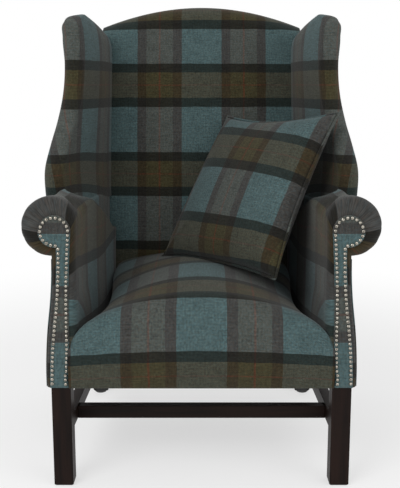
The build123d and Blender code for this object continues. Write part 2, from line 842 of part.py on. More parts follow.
def place_cushion(shape):
    """Lean the cushion against the back and the right arm."""
    stand = Pos(*cushion_centre) * Rot(Z=cushion_yaw) * Rot(X=cushion_lean) * Rot(Y=cushion_roll)
    return stand * Rot(X=90) * shape


def cushion_piping():
    """Corded edge around the seam of the cushion."""
    path = Wire(cushion_outline(1, -fit))
    start = path @ 0
    section = Plane(start, z_dir=path % 0) * RegularPolygon(piping_radius, 6)
    return sweep(section, path=path)


# ---- Assembly --------------------------------------------------------------------------

def pair(pieces, name, shape):
    """Add the right piece and its mirror on the left."""
    pieces[name + "_right"] = shape
    pieces[name + "_left"] = other_side(shape)


def wooden_pieces(pieces):
    """Legs, stretchers and the hidden frame."""
    leg, rear_leg = front_leg(), back_leg()
    tongue = stretcher_height - 2 * tenon_shoulder
    side_tenon = side_stretcher(tongue, tenon_width)
    side = shouldered(side_stretcher(stretcher_height, stretcher_width), side_tenon,
                      [leg, rear_leg])
    cross_tongue = cross_stretcher_height - 2 * tenon_shoulder
    cross_tenon = cross_stretcher(cross_tongue, tenon_width, stretcher_inset + tenon_depth)
    cross = shouldered(
        cross_stretcher(cross_stretcher_height, stretcher_width, stretcher_inset + tenon_depth),
        cross_tenon, [side, other_side(side)])
    rail_tongue = rail_height - 2 * tenon_shoulder
    front_tenon = front_rail(rail_tongue, tenon_width, tenon_depth)
    front = front_rail(rail_height, rail_thickness, 0) + front_tenon
    rail_tenon = side_rail(rail_tongue, tenon_width, tenon_depth)
    rail = shouldered(side_rail(rail_height, rail_thickness, tenon_depth), rail_tenon,
                      [leg, rear_leg])
    pair(pieces, "front_leg", less(leg, side_tenon, front_tenon, rail_tenon))
    pair(pieces, "back_leg", less(rear_leg, side_tenon, rail_tenon))
    pair(pieces, "side_stretcher", less(side, cross_tenon))
    pieces["cross_stretcher"] = cross
    pieces["front_seat_rail"] = front
    pair(pieces, "side_seat_rail", rail)
    pieces["back_seat_rail"] = back_rail()
    pieces["corner_blocks"] = corner_blocks([leg, rear_leg, rail, back_rail(), front])
    post, stump = back_post(), arm_post()
    top_rail = back_top_rail()
    half_rail = back_rail_height / 2
    low_rail = across_back(lower_back_rail_z - half_rail, lower_back_rail_z + half_rail,
                           back_rail_thickness, back_half(lower_back_rail_z) - back_post_width)
    low_rail = less(low_rail, post, other_side(post))
    arm = main_solid(less(arm_rail(), post, stump))
    stick = less(wing_stick(), arm)
    stick = stick.solids().sort_by(Axis.Z)[-1]
    pair(pieces, "arm_post", stump)
    pair(pieces, "arm_rail", arm)
    pair(pieces, "lower_arm_rail", less(tacking_rail(), post, stump))
    pair(pieces, "back_post", post)
    pieces["back_top_rail"] = top_rail
    pieces["back_lower_rail"] = low_rail
    pair(pieces, "wing_post", stick)
    pair(pieces, "wing_top_rail", less(wing_rail(), stick, post, top_rail))


def soft_pieces(pieces):
    """Pads, and the cloth over them."""
    frame = list(pieces.values())
    right = [shape for name, shape in pieces.items() if not name.endswith("_left")]
    rear, rear_core = behind_the_back(), behind_the_back(cloth)
    facing = arm_facing()
    back_tool, arm_tool = back_envelope(-fit), arm_envelope(fit)
    arm_skin, arm_core = skin_and_core(arm_envelope(), arm_envelope(-cloth), rear, rear_core)
    arm_cuts = [back_tool, side_rail_room()] + right
    wing_skin, wing_core = skin_and_core(wing_envelope(), wing_envelope(-cloth), rear, rear_core)
    wing_cuts = [back_tool, arm_tool] + right
    back_skin, back_core = skin_and_core(back_envelope(), back_envelope(cloth), rear, rear)
    seat_skin, seat_core = skin_and_core(seat_envelope(), seat_envelope(cloth), rear, rear)
    seat_cuts = [back_tool, below_seat(), below_rails(), pieces["front_seat_rail"]]
    for tool in (arm_tool, facing_room()):
        seat_cuts += [tool, other_side(tool)]
    pair(pieces, "arm_pad", less(arm_core, *arm_cuts))
    pair(pieces, "inside_arm_cover", less(arm_skin, *arm_cuts))
    pair(pieces, "wing_pad", less(wing_core, *wing_cuts))
    pair(pieces, "inside_wing_cover", less(wing_skin, *wing_cuts))
    beside = [shape for name, shape in pieces.items() if name.startswith(("arm_pad", "inside_arm"))]
    pieces["back_pad"] = less(back_core, frame_window(), back_webbing(), *frame, *beside)
    pieces["inside_back_cover"] = less(back_skin, *frame)
    pieces["seat_pad"] = less(seat_core, *seat_cuts)
    pieces["seat_cover"] = less(seat_skin, *seat_cuts)
    pair(pieces, "outside_arm_cover", less(outside_arm_panel(), rear))
    pair(pieces, "outside_wing_cover", less(outside_wing_panel(), rear, arm_tool, wing_envelope()))
    pieces["outside_back_cover"] = outside_back_panel()
    pair(pieces, "arm_facing", facing)
    legs = [shape for name, shape in pieces.items() if "leg" in name]
    pieces["dust_cover"] = less(dust_cover(), *legs)


def skin_and_core(outer, inner, rear, rear_core):
    """Cloth between two envelopes, and the padding inside the inner one."""
    core = less(inner, rear_core)
    return less(outer, rear, core), core


def side_rail_room():
    """Room at the foot of the right arm for the side rail, inside its outer face."""
    return Box(2 * side_rail_front_x, 2 * crest_height,
               2 * (tacking_rail_z - tacking_rail_height / 2))


def facing_room():
    """Room in front of the right arm for the facing, with a gap around it."""
    return extrude(make_face(Wire(arm_outline(-front_room, facing_line, fit))), front_room, dir=(0, 1, 0))


def below_seat():
    """Room behind the front rail for the frame and the springs."""
    return Pos(0, front_rail_y, 0) * Box(2 * leg_outer, 4 * back_depth, seat_base,
                                         align=(Align.CENTER, Align.MIN, Align.MIN))


def below_rails():
    """Everything under the seat frame."""
    return Box(4 * leg_outer, 4 * back_depth, 2 * rail_underside)


def cushion_pieces(pieces):
    """The loose cushion: filling, cover and corded edge."""
    seat, deep_seat = seat_envelope(-fit), seat_envelope(-fit - cloth)
    edge = piping_radius + fit
    filling = less(place_cushion(cushion_solid(edge + cloth)), deep_seat)
    cover = less(place_cushion(cushion_solid(edge)), seat, filling)
    pieces["scatter_cushion_filling"] = filling
    pieces["scatter_cushion_cover"] = cover
    pieces["scatter_cushion_piping"] = less(place_cushion(cushion_piping()), seat)


def build():
    """Every piece of the chair by name."""
    pieces = {}
    wooden_pieces(pieces)
    soft_pieces(pieces)
    pieces["seat_springs"] = seat_springs()
    pieces["spring_clips"] = spring_clips()
    pieces["back_webbing"] = back_webbing()
    pieces["rail_buffers"] = rail_buffers()
    cushion_pieces(pieces)
    return pieces


os.makedirs("parts", exist_ok=True)
chair = build()
boxes = [shape.bounding_box() for shape in chair.values()]
front, back = min(box.min.Y for box in boxes), max(box.max.Y for box in boxes)
centre_y = (front + back) / 2
print("front", round(front, 2), "back", round(back, 2), "centre", round(centre_y, 2))
for node, shape in chair.items():
    export_step(Pos(0, -centre_y, 0) * shape, f"parts/{node}.step")
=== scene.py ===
# %% [markdown]
# # A wing-backed fireside chair
# The chair's frame, legs and padding are already drawn as solids, and this script dresses them.
# Every soft piece is modelled again here as cloth over padding, because a woollen cover has a
# pattern that follows it, seams that sink in, and pleats where it is gathered.

# %% Load the solids
import math

import bmesh
import bpy
import numpy as np
from mathutils import Matrix, Vector
from mathutils.bvhtree import BVHTree


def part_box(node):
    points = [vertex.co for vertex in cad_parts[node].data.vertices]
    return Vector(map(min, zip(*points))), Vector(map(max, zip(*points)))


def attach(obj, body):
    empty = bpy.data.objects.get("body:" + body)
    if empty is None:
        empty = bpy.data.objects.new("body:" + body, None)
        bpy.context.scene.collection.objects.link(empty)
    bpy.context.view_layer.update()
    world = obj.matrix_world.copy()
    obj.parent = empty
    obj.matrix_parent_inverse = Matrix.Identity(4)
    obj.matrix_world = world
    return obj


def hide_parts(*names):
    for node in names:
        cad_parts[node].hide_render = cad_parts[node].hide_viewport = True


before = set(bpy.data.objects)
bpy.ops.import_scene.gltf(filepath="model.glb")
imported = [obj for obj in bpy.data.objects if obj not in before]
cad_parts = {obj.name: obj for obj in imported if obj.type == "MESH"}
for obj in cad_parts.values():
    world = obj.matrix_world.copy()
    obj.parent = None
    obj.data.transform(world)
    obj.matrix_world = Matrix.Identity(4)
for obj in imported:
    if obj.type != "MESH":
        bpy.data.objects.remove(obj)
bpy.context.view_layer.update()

# %% [markdown]
# ## Working in the maker's millimetres
# The drawing of the chair counts millimetres from the front of the legs. The solids are centred
# front to back, so one number, read from a leg, moves a drawn point to its place in the scene.

# %% Sizes of the chair
MM = 0.001
FRONT_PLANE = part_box("front_leg_right")[0].y
RAIL_UNDERSIDE = 233
SEAT_BASE = 336
BACK_UNDERSIDE = 332
SEAT_LEVEL = 430
BACK_DEPTH = 510         # inside face of the back at the level of the seat
BACK_THICKNESS = 105
RECLINE = math.radians(9.5)
CREST_HEIGHT, CREST_DROP, CREST_RADIUS = 1103, 54, 46
CREST_EARS = 9           # the crest is padded out over the wings
EARS_START, EARS_END = 985, 1035
SHOULDER_HALF, SHOULDER_HEIGHT = 268, 1040
BACK_BASE_HALF = 316
BACK_CROWN, LUMBAR_BOW = 20, 18
ARM_KNEE = 400
ARM_PADDING = 28
ARM_INNER_LENGTH = 505
CLEARANCE = 0.6          # soft pieces stay this far from one another

# Outline of the right arm at its facing, where the padding is fullest, and at the back
FACING_LINE = dict(foot_out=334, knee_out=321, neck_out=312, scroll_x=315, scroll_radius=35,
                   top=618, neck_in=280, knee_in=289, foot_in=294)
PADDED_LINE = dict(foot_out=345, knee_out=334, neck_out=326, scroll_x=325, scroll_radius=65,
                   top=655, neck_in=270, knee_in=272, foot_in=276)
REAR_LINE = dict(foot_out=325, knee_out=318, neck_out=311, scroll_x=311, scroll_radius=60,
                 top=650, neck_in=236, knee_in=238, foot_in=241)


def inside_back_y(z):
    """Depth of the inside face of the back at a height."""
    return BACK_DEPTH + (z - SEAT_LEVEL) * math.tan(RECLINE)


def rear_y(z):
    """Depth of the outside face of the back at a height."""
    return inside_back_y(z) + BACK_THICKNESS


def back_half(z):
    """Half of the width of the back at a height."""
    taper = (BACK_BASE_HALF - SHOULDER_HALF) / (SHOULDER_HEIGHT - BACK_UNDERSIDE)
    return SHOULDER_HALF + (SHOULDER_HEIGHT - z) * taper + CREST_EARS * ease(z, EARS_START, EARS_END)


def in_scene(points):
    """Drawn millimetres as metres in the scene."""
    moved = np.asarray(points, float) * MM
    moved[..., 1] += FRONT_PLANE
    return moved


print("front plane at", round(FRONT_PLANE, 5), "m")

# %% [markdown]
# ## Curves in numbers
# Upholstery is full of slow curves, and a few helpers draw them all: a smooth curve through given
# values, a smooth step, an arc through three points and a straight run. Two more measure a line
# and put points along it at even steps, as a tape measure would. They also say how much cloth a
# curve takes, which places the pattern.

# %% Curve helpers
def through(x, knots, values):
    """Smooth curve through the given values."""
    k, v = np.asarray(knots, float), np.asarray(values, float)
    x = np.clip(x, k[0], k[-1])
    slope = np.gradient(v, k)
    i = np.clip(np.searchsorted(k, x) - 1, 0, len(k) - 2)
    h = k[i + 1] - k[i]
    t = (x - k[i]) / h
    return ((2 * t**3 - 3 * t**2 + 1) * v[i] + (t**3 - 2 * t**2 + t) * h * slope[i]
            + (3 * t**2 - 2 * t**3) * v[i + 1] + (t**3 - t**2) * h * slope[i + 1])


def ease(x, low=0.0, high=1.0):
    """Smooth step from 0 to 1 between two values."""
    t = np.clip((np.asarray(x, float) - low) / (high - low), 0, 1)
    return t * t * (3 - 2 * t)


def arc(a, m, b, steps):
    """Points on the circle through three flat points, without the last one."""
    a, m, b = (np.asarray(p, float) for p in (a, m, b))
    d = 2 * (a[0] * (m[1] - b[1]) + m[0] * (b[1] - a[1]) + b[0] * (a[1] - m[1]))
    if abs(d) < 1e-6:
        t = np.linspace(0, 1, steps, endpoint=False)[:, None]
        return a + (b - a) * t
    sa, sm, sb = (p @ p for p in (a, m, b))
    centre = np.array([sa * (m[1] - b[1]) + sm * (b[1] - a[1]) + sb * (a[1] - m[1]),
                       sa * (b[0] - m[0]) + sm * (a[0] - b[0]) + sb * (m[0] - a[0])]) / d
    start, middle, end = (math.atan2(*(p - centre)[::-1]) for p in (a, m, b))
    turn, part = (end - start) % (2 * math.pi), (middle - start) % (2 * math.pi)
    if part > turn:
        turn -= 2 * math.pi
    angles = start + turn * np.linspace(0, 1, steps, endpoint=False)
    radius = np.linalg.norm(a - centre)
    return centre + radius * np.stack([np.cos(angles), np.sin(angles)], 1)


def run(a, b, steps):
    """Points on a straight line, without the last one."""
    t = np.linspace(0, 1, steps, endpoint=False)[:, None]
    return np.asarray(a, float) + (np.asarray(b, float) - np.asarray(a, float)) * t


def lengths(points):
    """Distance along a line at each of its points."""
    steps = np.linalg.norm(np.diff(points, axis=0), axis=1)
    return np.concatenate([[0], np.cumsum(steps)])


def evenly(points, count):
    """The same line with points at even steps."""
    along = lengths(points)
    wanted = np.linspace(0, along[-1], count)
    return np.stack([np.interp(wanted, along, points[:, i]) for i in range(points.shape[1])], 1)


# %% [markdown]
# ## From rows of points to a cover
# A cover is made as rows of points, like the threads of the cloth, with faces between them.
# Each point also knows its place on the uncut cloth. That is stored as a UV map, in metres, so
# the pattern keeps its real size and turns with the cover wherever it goes. Rows worked out in
# code are plain to measure and to change, which a shape pulled about by hand isn't.

# %% Mesh helpers
def placed(name, data):
    """Put a mesh, curve, lamp or camera in the scene, at the origin."""
    item = bpy.data.objects.new(name, data)
    bpy.context.scene.collection.objects.link(item)
    return item


def edited(mesh, change):
    """Open a mesh for editing, change it and put it back."""
    data = bmesh.new()
    data.from_mesh(mesh)
    change(data)
    data.to_mesh(mesh)
    data.free()


def put_cloth(mesh, spots):
    """Store where each corner of each face lies on the cloth, given in millimetres."""
    flat = np.array([spot for face in spots for spot in face], float) * MM
    mesh.uv_layers.new(name="cloth").data.foreach_set("uv", flat.ravel())
    mesh.polygons.foreach_set("use_smooth", [True] * len(mesh.polygons))


# %% Cover helper
def cut_ends(data):
    """Cut the many-sided ends of a cover into flat triangles."""
    ends = [face for face in data.faces if len(face.verts) > 4]
    for face in ends:
        face.smooth = False
    bmesh.ops.triangulate(data, faces=ends, ngon_method="BEAUTY")


def cover(name, rows, cloth, wrap=True, caps=True):
    """Mesh over rows of points in drawn millimetres; cloth holds the place on the cloth in mm.
    With wrap the rows are closed loops, and cloth has one more column than rows."""
    rows, cloth = np.asarray(rows, float), np.asarray(cloth, float)
    count, across = rows.shape[:2]
    faces, spots = [], []
    for i in range(count - 1):
        near, far = i * across, (i + 1) * across
        for j in range(across if wrap else across - 1):
            k = (j + 1) % across
            faces.append([near + j, near + k, far + k, far + j])
            spots.append([cloth[i][j], cloth[i][j + 1], cloth[i + 1][j + 1], cloth[i + 1][j]])
    ends = ((0, -1), (count - 1, 1)) if wrap and caps else ()
    for i, way in ends:
        faces.append([i * across + j for j in range(across)][::way])
        spots.append([cloth[i][j] for j in range(across)][::way])
    mesh = bpy.data.meshes.new(name)
    mesh.from_pydata([tuple(p) for p in in_scene(rows).reshape(-1, 3)], [], faces)
    put_cloth(mesh, spots)
    if ends:
        edited(mesh, cut_ends)
    return placed(name, mesh)


# %% Piece helpers
def outward(piece):
    """Turn a closed mesh's faces outward if they point inward."""
    volume = bmesh.new()
    volume.from_mesh(piece.data)
    if volume.calc_volume(signed=True) < 0:
        bmesh.ops.reverse_faces(volume, faces=volume.faces)
        volume.to_mesh(piece.data)
    volume.free()
    return piece


def mirrored(piece, name):
    """The same piece on the other side of the chair, with its faces turned back outward."""
    mesh = piece.data.copy()
    mesh.transform(Matrix.Diagonal((-1, 1, 1, 1)))
    mesh.flip_normals()
    return placed(name, mesh)


def finish_piece(piece, body, slot, material, *nodes):
    """Give a piece its material and its body, and hide the solids that it stands for."""
    piece.data.materials.clear()
    piece.data.materials.append(material)
    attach(piece, body)
    if nodes:
        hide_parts(*nodes)


def count_faces(piece):
    """Say how many faces a piece has."""
    print(piece.name, len(piece.data.polygons), "faces")


# %% [markdown]
# ## Tartan wool
# The cloth is a check of blue and grey warp stripes, crossed by wefts of the same ground, of
# olive with one red thread line, and of near-black. Constant colour ramps are the simplest way to
# weave it: one holds the warp for each kind of weft, and three more say which weft lies where. A
# fine diagonal twill, loose heathered specks and a slow unevenness sit on top, and the twill and
# the specks lift the surface a little.

# %% Node helpers
def srgb(r, g, b):
    """A colour written as 0 to 255, for a shader socket."""
    def linear(c):
        c /= 255
        return c / 12.92 if c <= 0.04045 else ((c + 0.055) / 1.055) ** 2.4
    return (linear(r), linear(g), linear(b), 1)


def new_material(name):
    """A material, its node tree and its Principled shader."""
    material = bpy.data.materials.new(name)
    material.use_nodes = True
    tree = material.node_tree
    return material, tree, tree.nodes["Principled BSDF"]


def set_inputs(item, inputs):
    """Set a node's inputs by their names."""
    for name, value in inputs.items():
        item.inputs[name].default_value = value


def node(tree, kind, inputs=None, **settings):
    """A node with its settings and inputs."""
    made = tree.nodes.new(kind)
    for key, value in settings.items():
        setattr(made, key, value)
    set_inputs(made, inputs or {})
    return made


def join(tree, value, socket):
    """Link a node's output to a socket, or put a plain value on it."""
    if isinstance(value, bpy.types.NodeSocket):
        tree.links.new(value, socket)
    else:
        socket.default_value = value


def math_node(tree, operation, a, b=0.0):
    """A sum on two numbers or sockets."""
    made = node(tree, "ShaderNodeMath", operation=operation)
    join(tree, a, made.inputs[0])
    join(tree, b, made.inputs[1])
    return made.outputs[0]


def mix_colour(tree, share, a, b, how="MIX"):
    """A mix of two colours or sockets."""
    made = node(tree, "ShaderNodeMix", data_type="RGBA", blend_type=how)
    for index, value in ((0, share), (6, a), (7, b)):
        join(tree, value, made.inputs[index])
    return made.outputs[2]


# %% Pattern helpers
def noise(tree, place, scale, detail, roughness=0.5, distortion=0.0):
    """Value of a noise at a place."""
    made = node(tree, "ShaderNodeTexNoise", {"Scale": scale, "Detail": detail,
                                             "Roughness": roughness, "Distortion": distortion})
    tree.links.new(place, made.inputs["Vector"])
    return made.outputs[0]


def swing(tree, value, strength):
    """A value from 0 to 1 as a swing to both sides of nought."""
    return math_node(tree, "MULTIPLY", math_node(tree, "SUBTRACT", value, 0.5), strength)


def fade(tree, value, dark, light, low, high):
    """Colour that fades from dark to light between two values."""
    ramp = node(tree, "ShaderNodeValToRGB")
    for element, position, colour in zip(ramp.color_ramp.elements, (low, high), (dark, light)):
        element.position = position
        element.color = colour
    tree.links.new(value, ramp.inputs[0])
    return ramp.outputs[0]


def raised(tree, shader, height, strength, distance):
    """Shade a surface as if a height stood out of it by a distance in metres."""
    bump = node(tree, "ShaderNodeBump", {"Strength": strength, "Distance": distance})
    tree.links.new(height, bump.inputs["Height"])
    tree.links.new(bump.outputs[0], shader.inputs["Normal"])


def stripes(tree, place, bands, repeat):
    """Constant colour ramp over a repeating width; bands are (width in mm, colour)."""
    total = sum(width for width, colour in bands)
    assert abs(total - repeat) < 0.5, total
    ramp = node(tree, "ShaderNodeValToRGB")
    ramp.color_ramp.interpolation = "CONSTANT"
    elements = ramp.color_ramp.elements
    start = 0.0
    for index, (width, colour) in enumerate(bands):
        element = elements[index] if index < 2 else elements.new(start / total)
        element.position = start / total
        element.color = colour
        start += width
    tree.links.new(place, ramp.inputs[0])
    return ramp.outputs[0]


# %% Check of the tartan
WARP_REPEAT, WEFT_REPEAT = 232, 242
BLUE, EDGE, CORE, RED_WARP = 110, 24, 35, 4
OLIVE_HALF, RED_WEFT, DARK, GROUND = 33.5, 3, 25, 122
BLACK, WHITE = (0, 0, 0, 1), (1, 1, 1, 1)
WANDER = 0.0045          # the woven lines stray by this much, in metres


def warp_stripes(tree, warp, *colours):
    """One repeat of the warp, from the middle of a blue stripe, as one kind of weft colours it."""
    blue, edge, core, red = (srgb(*colour) for colour in colours)
    bands = [(BLUE / 2, blue), (EDGE, edge), (CORE, core), (RED_WARP, red), (CORE, core),
             (EDGE, edge), (BLUE / 2, blue)]
    return stripes(tree, warp, bands, WARP_REPEAT)


def check(tree, place):
    """Colour of the check at a place on the cloth."""
    apart = node(tree, "ShaderNodeSeparateXYZ")
    tree.links.new(place, apart.inputs[0])
    stray = swing(tree, noise(tree, place, 18.0, 3.0), WANDER)
    threads = []
    for along, repeat in zip(apart.outputs, (WARP_REPEAT, WEFT_REPEAT)):
        moved = math_node(tree, "ADD", along, stray)
        threads.append(math_node(tree, "FRACT", math_node(tree, "DIVIDE", moved, repeat * MM)))
    warp, weft = threads
    # The blue, edge, core and red stripes of the warp, dulled or darkened by each kind of weft
    ground = warp_stripes(tree, warp, (71, 89, 91), (61, 61, 60), (72, 76, 73), (82, 71, 66))
    dark = warp_stripes(tree, warp, (35, 43, 41), (31, 30, 27), (35, 35, 30), (42, 32, 27))
    olive = warp_stripes(tree, warp, (64, 65, 56), (53, 46, 32), (60, 56, 38), (76, 50, 34))
    red = warp_stripes(tree, warp, (76, 62, 55), (78, 43, 31), (82, 50, 35), (90, 46, 33))
    is_olive = stripes(tree, weft, [(DARK, BLACK), (2 * OLIVE_HALF + RED_WEFT, WHITE),
                                    (DARK + GROUND, BLACK)], WEFT_REPEAT)
    is_red = stripes(tree, weft, [(DARK + OLIVE_HALF, BLACK), (RED_WEFT, WHITE),
                                  (OLIVE_HALF + DARK + GROUND, BLACK)], WEFT_REPEAT)
    is_dark = stripes(tree, weft, [(DARK, WHITE), (2 * OLIVE_HALF + RED_WEFT, BLACK),
                                   (DARK, WHITE), (GROUND, BLACK)], WEFT_REPEAT)
    colour = mix_colour(tree, is_olive, ground, olive)
    colour = mix_colour(tree, is_dark, colour, dark)
    broken_thread = math_node(tree, "MULTIPLY", is_red, noise(tree, place, 90.0, 1.0))
    return mix_colour(tree, broken_thread, colour, red)


# %% Tartan material
TWILL_ANGLE = math.radians(45)


def weave(tree, place):
    """How light each spot of the wool is, and how high it stands."""
    turned = node(tree, "ShaderNodeMapping", {"Rotation": (0, 0, TWILL_ANGLE)})
    tree.links.new(place, turned.inputs[0])
    lines = node(tree, "ShaderNodeTexWave", {"Scale": 95.0, "Distortion": 1.6, "Detail": 2.0,
                                             "Detail Scale": 6.0}, wave_type="BANDS",
                 bands_direction="X", wave_profile="SIN")
    tree.links.new(turned.outputs[0], lines.inputs[0])
    twill, specks = lines.outputs[1], noise(tree, place, 210.0, 3.0, 0.75)
    slubs = noise(tree, place, 24.0, 3.0, 0.6)
    parts = [(twill, 0.16), (specks, 1.9), (slubs, 0.45)]
    for stretch, strength in (((34.0, 300.0, 1.0), 1.0), ((300.0, 34.0, 1.0), 0.85)):
        stretched = node(tree, "ShaderNodeMapping", {"Scale": stretch})
        tree.links.new(place, stretched.inputs[0])
        parts.append((noise(tree, stretched.outputs[0], 1.0, 3.0, 0.6), strength))
    light = 1.0
    for part, strength in parts:
        light = math_node(tree, "ADD", swing(tree, part, strength), light)
    return light, math_node(tree, "ADD", twill, specks)


def tartan_wool():
    """Heathered wool on the check, with warm and cool specks and a dull nap."""
    material, tree, shader = new_material("tartan_wool")
    place = node(tree, "ShaderNodeUVMap", uv_map="cloth").outputs[0]
    light, height = weave(tree, place)
    grain = node(tree, "ShaderNodeHueSaturation")
    tree.links.new(light, grain.inputs["Value"])
    tree.links.new(check(tree, place), grain.inputs["Color"])
    warmth = node(tree, "ShaderNodeMapRange", {"From Min": 0.36, "From Max": 0.64})
    tree.links.new(noise(tree, place, 240.0, 2.0), warmth.inputs[0])
    tint = mix_colour(tree, warmth.outputs[0], srgb(198, 176, 158), srgb(176, 198, 204))
    heather = mix_colour(tree, 0.4, grain.outputs[0], tint, "SOFT_LIGHT")
    tree.links.new(heather, shader.inputs["Base Color"])
    set_inputs(shader, {"Roughness": 0.92, "Sheen Weight": 0.12, "Sheen Roughness": 0.5,
                        "Specular IOR Level": 0.08})
    raised(tree, shader, height, 0.35, 0.0006)
    return material


TARTAN = tartan_wool()
print("tartan repeats every", WARP_REPEAT, "by", WEFT_REPEAT, "mm")

# %% [markdown]
# ## Wood, metal, rubber and lining
# The show-wood is mahogany, stained almost black, with a satin polish. Its figure is stretched
# noise that runs along each bar, so there is one material for each direction of the grain. The
# hidden rails are pale beech. Lining and webbing are plain weaves, and metal and rubber share one
# finish with a worn, uneven colour.

# %% Wood
GRAIN_ACROSS, GRAIN_ALONG = 46.0, 2.6


def timber(name, dark, light, along, roughness, gloss=0.3):
    """Wood with its grain along X, Y or Z."""
    material, tree, shader = new_material(name)
    scale = [GRAIN_ALONG if axis == along else GRAIN_ACROSS for axis in "XYZ"]
    stretch = node(tree, "ShaderNodeMapping", {"Scale": scale})
    tree.links.new(node(tree, "ShaderNodeTexCoord").outputs["Object"], stretch.inputs[0])
    figure = noise(tree, stretch.outputs[0], 1.0, 6.0, 0.62, 0.5)
    pores = noise(tree, stretch.outputs[0], 14.0, 3.0)
    spots = math_node(tree, "MULTIPLY", math_node(tree, "LESS_THAN", pores, 0.38), 0.5)
    colour = mix_colour(tree, spots, fade(tree, figure, dark, light, 0.32, 0.7), dark)
    tree.links.new(colour, shader.inputs["Base Color"])
    shine = math_node(tree, "ADD", math_node(tree, "MULTIPLY", figure, 0.18), roughness)
    tree.links.new(shine, shader.inputs["Roughness"])
    shader.inputs["Specular IOR Level"].default_value = gloss
    raised(tree, shader, pores, 0.25, 0.0004)
    return material


MAHOGANY = {a: timber("mahogany_" + a.lower(), srgb(15, 9, 7), srgb(38, 24, 19), a, 0.38, 0.12)
            for a in "XYZ"}
BEECH = {a: timber("beech_" + a.lower(), srgb(170, 130, 92), srgb(205, 170, 128), a, 0.6)
         for a in "XYZ"}


# %% Plain finishes
def woven(name, colour, other, scale, roughness):
    """Plain weave on object coordinates."""
    material, tree, shader = new_material(name)
    place = node(tree, "ShaderNodeTexCoord").outputs["Object"]
    threads = []
    for direction in "XY":
        wave = node(tree, "ShaderNodeTexWave", {"Scale": scale, "Distortion": 1.0},
                    wave_type="BANDS", bands_direction=direction)
        tree.links.new(place, wave.inputs[0])
        threads.append(wave.outputs[1])
    over = math_node(tree, "MULTIPLY", *threads)
    tree.links.new(mix_colour(tree, over, colour, other), shader.inputs["Base Color"])
    shader.inputs["Roughness"].default_value = roughness
    raised(tree, shader, over, 0.4, 0.0005)
    return material


def cast(name, dark, light, metallic, roughness, scale=90.0):
    """Metal or rubber with a worn, slightly uneven colour."""
    material, tree, shader = new_material(name)
    spots = noise(tree, node(tree, "ShaderNodeTexCoord").outputs["Object"], scale, 4.0)
    tree.links.new(fade(tree, spots, dark, light, 0.35, 0.65), shader.inputs["Base Color"])
    rough = math_node(tree, "ADD", math_node(tree, "MULTIPLY", spots, 0.2), roughness - 0.1)
    tree.links.new(rough, shader.inputs["Roughness"])
    shader.inputs["Metallic"].default_value = metallic
    raised(tree, shader, spots, 0.3, 0.0002)
    return material


LINING = woven("black_lining", srgb(16, 16, 17), srgb(30, 30, 31), 260.0, 0.95)
WEB = woven("jute_web", srgb(96, 82, 60), srgb(132, 114, 86), 180.0, 0.9)
STEEL = cast("spring_steel", srgb(96, 97, 100), srgb(140, 141, 144), 1.0, 0.42)
BRONZE = cast("antique_bronze", srgb(92, 88, 80), srgb(186, 181, 170), 1.0, 0.24, 300.0)
RUBBER = cast("black_rubber", srgb(10, 10, 10), srgb(24, 24, 24), 0.0, 0.6)
print("finishes:", len(bpy.data.materials))

# %% [markdown]
# ## Finishes for the solids that stay
# Bars, rails, springs and clips have the right shape already. They keep their meshes and get a
# material. The show-wood also gets a small rounded edge, as a plane and sandpaper leave it, from
# a weld and a bevel that do not touch the solid itself.

# %% Dress the solids
GRAIN_OF = dict(front_leg="Z", back_leg="Z", side_stretcher="Y", cross_stretcher="X",
                front_seat_rail="X", back_seat_rail="X", side_seat_rail="Y", corner_blocks="X",
                arm_post="Z", arm_rail="Y", lower_arm_rail="Y", back_post="Z",
                back_top_rail="X", back_lower_rail="X", wing_post="Z", wing_top_rail="Y")
SHOW_WOOD = ("front_leg", "back_leg", "side_stretcher", "cross_stretcher")
OTHER_FINISH = dict(seat_springs=STEEL, spring_clips=STEEL, back_webbing=WEB, dust_cover=LINING,
                    rail_buffers=RUBBER)
WELD_DISTANCE = 0.00001
EASED_EDGE = 0.0012


def ease_edges(solid):
    """Round a solid's edges a little, without touching its mesh."""
    weld = solid.modifiers.new("weld", "WELD")
    weld.merge_threshold = WELD_DISTANCE
    edge = solid.modifiers.new("eased_edges", "BEVEL")
    edge.width = EASED_EDGE
    edge.segments = 2
    edge.limit_method = "ANGLE"
    edge.harden_normals = True


for name, solid in sorted(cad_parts.items()):
    kind = name.removesuffix("_left").removesuffix("_right")
    if kind in SHOW_WOOD:
        material = MAHOGANY[GRAIN_OF[kind]]
        ease_edges(solid)
    elif kind in GRAIN_OF:
        material = BEECH[GRAIN_OF[kind]]
    elif kind in OTHER_FINISH:
        material = OTHER_FINISH[kind]
    else:
        continue
    solid.data.materials.clear()
    solid.data.materials.append(material)
print("dressed", len(GRAIN_OF) + len(OTHER_FINISH), "kinds of solid")

# %% [markdown]
# ## Wings
# A wing is a thick rounded panel. At each height it has an outer face, a round nose and an inner
# face that runs back to the seam of the inside back. The levels are joined by a smooth curve,
# so the edge flows from the arm up to the shaped top. A block with a bevel would have one
# thickness and one edge, and these levels leave both free to change on the way up.

# %% Wing levels
WING_HALF = 25
WING_FOOT, WING_TOP = 590, 1068
